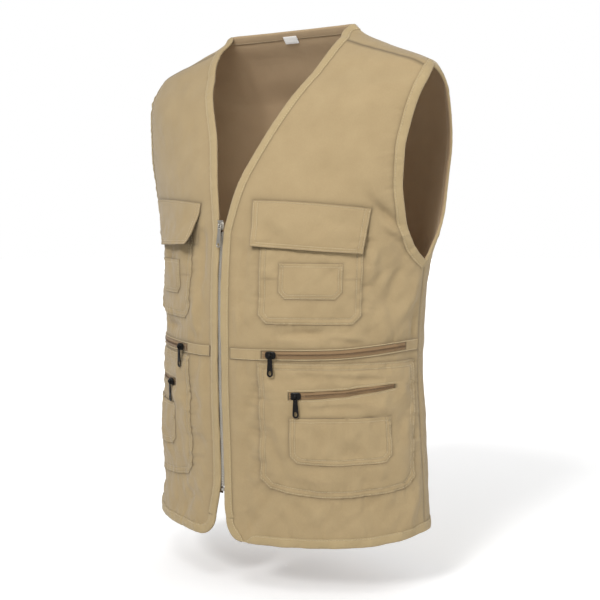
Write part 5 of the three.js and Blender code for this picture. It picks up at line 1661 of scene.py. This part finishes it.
def front_zip():
    """Tapes behind the front edges and two rows of interlocking teeth."""
    for side, word in SIDES.items():
        across = np.linspace(*FRONT_TAPE["across"], 8)[None, :]
        z = np.linspace(*FRONT_TAPE["levels"], 130)[:, None]
        across, z = across * np.ones_like(z), z * np.ones_like(across)
        face = FRONT_TAPE["face"] + 0.25 * bell(across - 2.6, 0.8)
        back = np.full(z.shape, FRONT_TAPE["back"])
        obj = layer_piece(f"front_tape_cloth_{word}", across, z, side, face, back,
                          [f"front_zip_tape_{word}"], material=TAPE_DARK)
        hang(obj, 0.0127, 0.34)
    left = np.arange(CHAIN_TOP - 1.2, CHAIN_BOTTOM + 1, -TOOTH_PITCH)
    right = left - TOOTH_PITCH / 2
    right = right[right > CHAIN_BOTTOM + 0.8]
    groups = []
    for side, levels, faces in ((LEFT, left, BLOCK[:, ::-1]), (RIGHT, right, BLOCK)):
        local = TOOTH * (-side, 1, 1) + (side * 0.72, 0.0, 0)
        groups.append((body_point(0.0, levels, 1)[:, None] + local, faces))
    verts, faces = joined_blocks(groups)
    obj = make_object("front_zip_teeth", verts, faces, TEETH, None, 25)
    place_piece(obj, ["front_zip_chain"])


# Sliders and pulls, drawn flat in millimetres with up and out as second and third axes.
def oval(centre_y, half_x, half_y, power=2.0, count=40):
    """Outline of an oval, squarer with a higher power."""
    angle = np.arange(count) * 2 * math.pi / count
    s, c = np.sin(angle), np.cos(angle)
    x = half_x * np.sign(c) * np.abs(c) ** (2 / power)
    y = centre_y + half_y * np.sign(s) * np.abs(s) ** (2 / power)
    return np.stack([x, y], 1)


def plate(outlines, low, high, bevel):
    """Plate with rounded edges from an outline and its holes, as corners and faces."""
    curve = bpy.data.curves.new("plate", "CURVE")
    curve.dimensions = "2D"
    curve.fill_mode = "BOTH"
    curve.extrude = (high - low) / 2 - bevel
    curve.bevel_depth = bevel
    curve.bevel_resolution = 2
    curve.offset = -bevel
    for outline in outlines:
        spline = curve.splines.new("POLY")
        spline.points.add(len(outline) - 1)
        for point, (x, y) in zip(spline.points, outline):
            point.co = (x, y, 0, 1)
        spline.use_cyclic_u = True
    holder = bpy.data.objects.new("plate", curve)
    mesh = bpy.data.meshes.new_from_object(holder)
    verts = np.array([v.co for v in mesh.vertices]) + (0, 0, (low + high) / 2)
    faces = [np.array([list(p.vertices)]) for p in mesh.polygons]
    bpy.data.objects.remove(holder)
    bpy.data.curves.remove(curve)
    bpy.data.meshes.remove(mesh)
    return verts, faces


def arch(floor_height, steps=16):
    """Loop over a slider that holds its pull, running up and down the slider."""
    radius, legs, thick, wide = (ARCH[key] for key in ("radius", "legs", "thick", "wide"))
    angle = np.linspace(0, math.pi, steps)
    spine = np.stack([radius * np.cos(angle), floor_height + legs + radius * np.sin(angle)], 1)
    spine = np.concatenate([[(radius, floor_height - 0.6)], spine, [(-radius, floor_height - 0.6)]])
    around = np.arange(ARCH_SIDES) * 2 * math.pi / ARCH_SIDES
    way = normalized(np.gradient(spine, axis=0))
    normal = np.stack([-way[:, 1], way[:, 0]], 1)
    ring = spine[:, None] + normal[:, None] * (thick * np.cos(around))[None, :, None]
    side = np.repeat((wide * np.sin(around))[None], len(spine), axis=0)
    verts = np.stack([side, ring[..., 0], ring[..., 1]], -1).reshape(-1, 3)
    return verts, [f[:, ::-1] for f in tube_faces(len(spine), ARCH_SIDES)]


def tilted(part, degrees):
    """Part turned about its sideways axis."""
    verts, faces = part
    turn = math.radians(degrees)
    y = verts[:, 1] * math.cos(turn) - verts[:, 2] * math.sin(turn)
    z = verts[:, 1] * math.sin(turn) + verts[:, 2] * math.cos(turn)
    return np.stack([verts[:, 0], y, z], 1), faces


def metal_piece(name, parts, across, level, side, height, material, nodes, body=BODY):
    """Joins flat-drawn parts and stands them on the cloth as the model does."""
    around = round_for(across, level)
    at, level_at = np.array([float(around)]), np.array([float(level)])
    point, out, up = (v[0] for v in body_frame(at, level_at, side))
    fold = fold_height(FRONT_FOLDS[side], np.array([float(across)]), level_at)[0]
    sideways = normalized(np.cross(up, out))
    upward = np.cross(out, sideways)
    verts, faces, start = [], [], 0
    for part_verts, part_faces in parts:
        local = part_verts[:, :1] * sideways + part_verts[:, 1:2] * upward + part_verts[:, 2:] * out
        verts.append(local + point + out * (height + fold))
        faces += [f + start for f in part_faces]
        start += len(part_verts)
    obj = make_object(name, np.concatenate(verts), faces, material, None, 35)
    return place_piece(obj, nodes, body)


def tab_outline(length, low_half, waist_half, top_half):
    """Pull tab: a narrow neck that widens down to a round end."""
    low = low_half - length
    angle = np.linspace(math.pi, 2 * math.pi, 22)
    end = [(low_half * math.cos(a), low + low_half * math.sin(a)) for a in angle]
    return np.array([(-top_half, 0.9), (-top_half, -4.6), (-waist_half, -7.0), (-waist_half, -9.0)] + end
                    + [(waist_half, -9.0), (waist_half, -7.0), (top_half, -4.6), (top_half, 0.9)])


def pocket_slider_parts():
    size = POCKET_SLIDER
    lower = plate([oval(0, size["half_width"], size["half_height"], 3.6)], 0, size["thick"] - 0.6, 0.5)
    cap = plate([oval(0.3, 5.6, 3.9, 3.0)], size["thick"] - 1.2, size["thick"] + 0.25, 0.55)
    return [lower, cap, arch(size["thick"])]


def front_slider_parts():
    size = FRONT_SLIDER
    body = plate([oval(-0.2, size["half_width"], size["half_height"], 3.2)], 0, 1.1, 0.4)
    wings = plate([oval(0.6, 3.9, 5.2, 2.6)], 1.0, size["thick"], 0.5)
    bar = plate([oval(5.0, 4.5, 1.2, 4.0)], 1.2, size["thick"] + 0.5, 0.4)
    return [body, wings, bar, arch(size["thick"])]


def tab_parts(size):
    """Pull tab with its eye and hole, and the rib raised on it, at the resting tilt."""
    outlines = [tab_outline(*size["outline"]), oval(*TAB_EYE, 3.0), oval(*size["hole"])]
    tab = plate(outlines, -TAB_HALF, TAB_HALF, 0.3)
    rib = plate([oval(*size["rib"], 3.0)], 0.3, 0.95, 0.25)
    return [tilted(tab, REST_TILT), tilted(rib, REST_TILT)]


def pulls_and_sliders():
    """Four pocket zips and the front zip: slider, pull and the stop of the chain."""
    hinge = POCKET_SLIDER["thick"] + ARCH["legs"]
    slider, tab = pocket_slider_parts(), tab_parts(POCKET_TAB)
    for side, word in SIDES.items():
        for kind, across, level in (("waist", WAIST_SLIDER_AT, waist_at(WAIST_SLIDER_AT)),
                                    ("lower", LOWER_SLIDER_AT, zip_level(LOWER_SLIDER_AT))):
            metal_piece(f"{kind}_slider_{word}", slider, across, level, side, POCKET_FOOT, BLACK,
                        [f"{kind}_zip_slider_{word}"])
            metal_piece(f"{kind}_tab_{word}", tab, across, level, side, POCKET_FOOT + hinge, BLACK,
                        [f"{kind}_zip_pull_{word}"], f"{kind}_pull_{word}")
    metal_piece("front_slider", front_slider_parts(), 0.0, FRONT_SLIDER["z"], LEFT, FRONT_FOOT, SILVER,
                ["front_zip_slider"])
    metal_piece("front_tab", tab_parts(FRONT_TAB), 0.0, FRONT_SLIDER["z"], LEFT, FRONT_FOOT + hinge, SILVER,
                ["front_zip_pull"], "front_pull")
    stop = plate([oval(0, 2.2, 2.0, 5.0)], -1.4, 1.4, 0.4)
    metal_piece("front_stop", [stop], 0.0, CHAIN_BOTTOM - 2.6, LEFT, -1.2, SILVER,
                ["front_zip_bottom_stop"])


def neck_label():
    """Blank tape inside the back neck, across the centre back."""
    run = np.linspace(*LABEL_RUN, 24)[None, :]
    z = np.linspace(*LABEL_LEVELS, 12)[:, None]
    run, z = run * np.ones_like(z), z * np.ones_like(run)
    around = 2 - np.abs(run) / back_total(z)
    side = np.where(run >= 0, LEFT, RIGHT)
    edge = np.minimum(np.minimum(run - LABEL_RUN[0], LABEL_RUN[1] - run),
                      np.minimum(LABEL_LEVELS[0] - z, z - LABEL_LEVELS[1]))
    outer = cloth(around, z, side, np.full(z.shape, LABEL_OUTER))
    inner = cloth(around, z, side, LABEL_INNER + 0.3 * np.exp(-edge / 0.8))
    weave = np.stack([run, z, np.zeros_like(z)], -1)
    obj = shell("neck_label_tape", outer, inner, weave, (0, 1, 0.2), LABEL, None, 60)
    place_piece(obj, ["neck_label"])
    hang(obj, 0.0222, 0.011)


# Camera, light and floor.
def stand(name, data, place, direction):
    """Camera or light at a place, looking in a direction."""
    holder = bpy.data.objects.new(name, data)
    holder.location = place
    holder.rotation_mode = "QUATERNION"
    holder.rotation_quaternion = Vector(direction).to_track_quat("-Z", "Y")
    bpy.context.scene.collection.objects.link(holder)
    return holder


def stage():
    """Camera at the place it has in the photograph."""
    camera = bpy.data.cameras.new("camera")
    camera.lens = CAMERA_LENS
    camera.sensor_width = SENSOR_WIDTH
    camera.shift_y = CAMERA_SHIFT_Y
    camera.clip_start = 0.05
    direction = (-math.sin(CAMERA_TURN) * math.cos(CAMERA_PITCH),
                 math.cos(CAMERA_TURN) * math.cos(CAMERA_PITCH), -math.sin(CAMERA_PITCH))
    bpy.context.scene.camera = stand("camera", camera, CAMERA_AT, direction)


def lights():
    """White room, one large soft key from the front and weak area lights around the vest."""
    world = bpy.data.worlds.new("studio")
    world.use_nodes = True
    nodes, links = world.node_tree.nodes, world.node_tree.links
    background = nodes["Background"]
    background.inputs["Color"].default_value = (1, 1, 1, 1)
    background.inputs["Strength"].default_value = WORLD_STRENGTH
    seen = nodes.new("ShaderNodeBackground")
    seen.inputs["Color"].default_value = (1, 1, 1, 1)
    mixer = nodes.new("ShaderNodeMixShader")
    links.new(nodes.new("ShaderNodeLightPath").outputs["Is Camera Ray"], mixer.inputs[0])
    links.new(background.outputs[0], mixer.inputs[1])
    links.new(seen.outputs[0], mixer.inputs[2])
    links.new(mixer.outputs[0], nodes["World Output"].inputs["Surface"])
    bpy.context.scene.world = world
    bpy.context.scene.view_settings.view_transform = "Standard"
    sun = bpy.data.lights.new("key", "SUN")
    sun.energy = KEY_STRENGTH
    sun.angle = math.radians(KEY_SOFTNESS)
    stand("key", sun, (0, 0, 0), KEY_DIRECTION)
    for name, place, size, power in SOFT_BOXES:
        data = bpy.data.lights.new(name, "AREA")
        data.size = size
        data.energy = power
        light = stand(name, data, place, Vector(VEST_MIDDLE) - Vector(place))
        light.visible_camera = False


def floor():
    """Pale floor that glows a little for the camera, more so further away."""
    nodes = Nodes("pale_floor")
    place = nodes.add("ShaderNodeNewGeometry").outputs["Position"]
    grain = nodes.noise(place, 40.0, 3.0, 0.5)
    nodes.link(nodes.mix(grain, srgb(234, 234, 234), srgb(239, 239, 239)), "Base Color")
    nodes.set(roughness=0.9, specular=0.1)
    nodes.shader.inputs["Emission Color"].default_value = (1, 1, 1, 1)
    seen = nodes.add("ShaderNodeLightPath").outputs["Is Camera Ray"]
    away = nodes.add("ShaderNodeVectorMath", links={"Vector": place}, operation="LENGTH").outputs["Value"]
    glow = nodes.math("ADD", nodes.math("MULTIPLY", away, FLOOR_GLOW_FAR), FLOOR_GLOW)
    nodes.link(nodes.math("MULTIPLY", seen, glow), "Emission Strength")
    angle = np.arange(FLOOR_SIDES) * 2 * math.pi / FLOOR_SIDES
    rings = np.array([[(radius * math.cos(a), radius * math.sin(a), FLOOR_Z) for a in angle]
                      for radius in (0.001, FLOOR_RADIUS)])
    quads, _ = tube_faces(len(rings), FLOOR_SIDES)
    obj = make_object("floor", rings.reshape(-1, 3) / MM, [quads], nodes.material, sharp=80)


stage()
lights()
floor()
front_panels()
hang(back_panel(), 0.6, 0.7, bindings())
sewn_layers()
pocket_zips()
front_zip()
pulls_and_sliders()
neck_label()
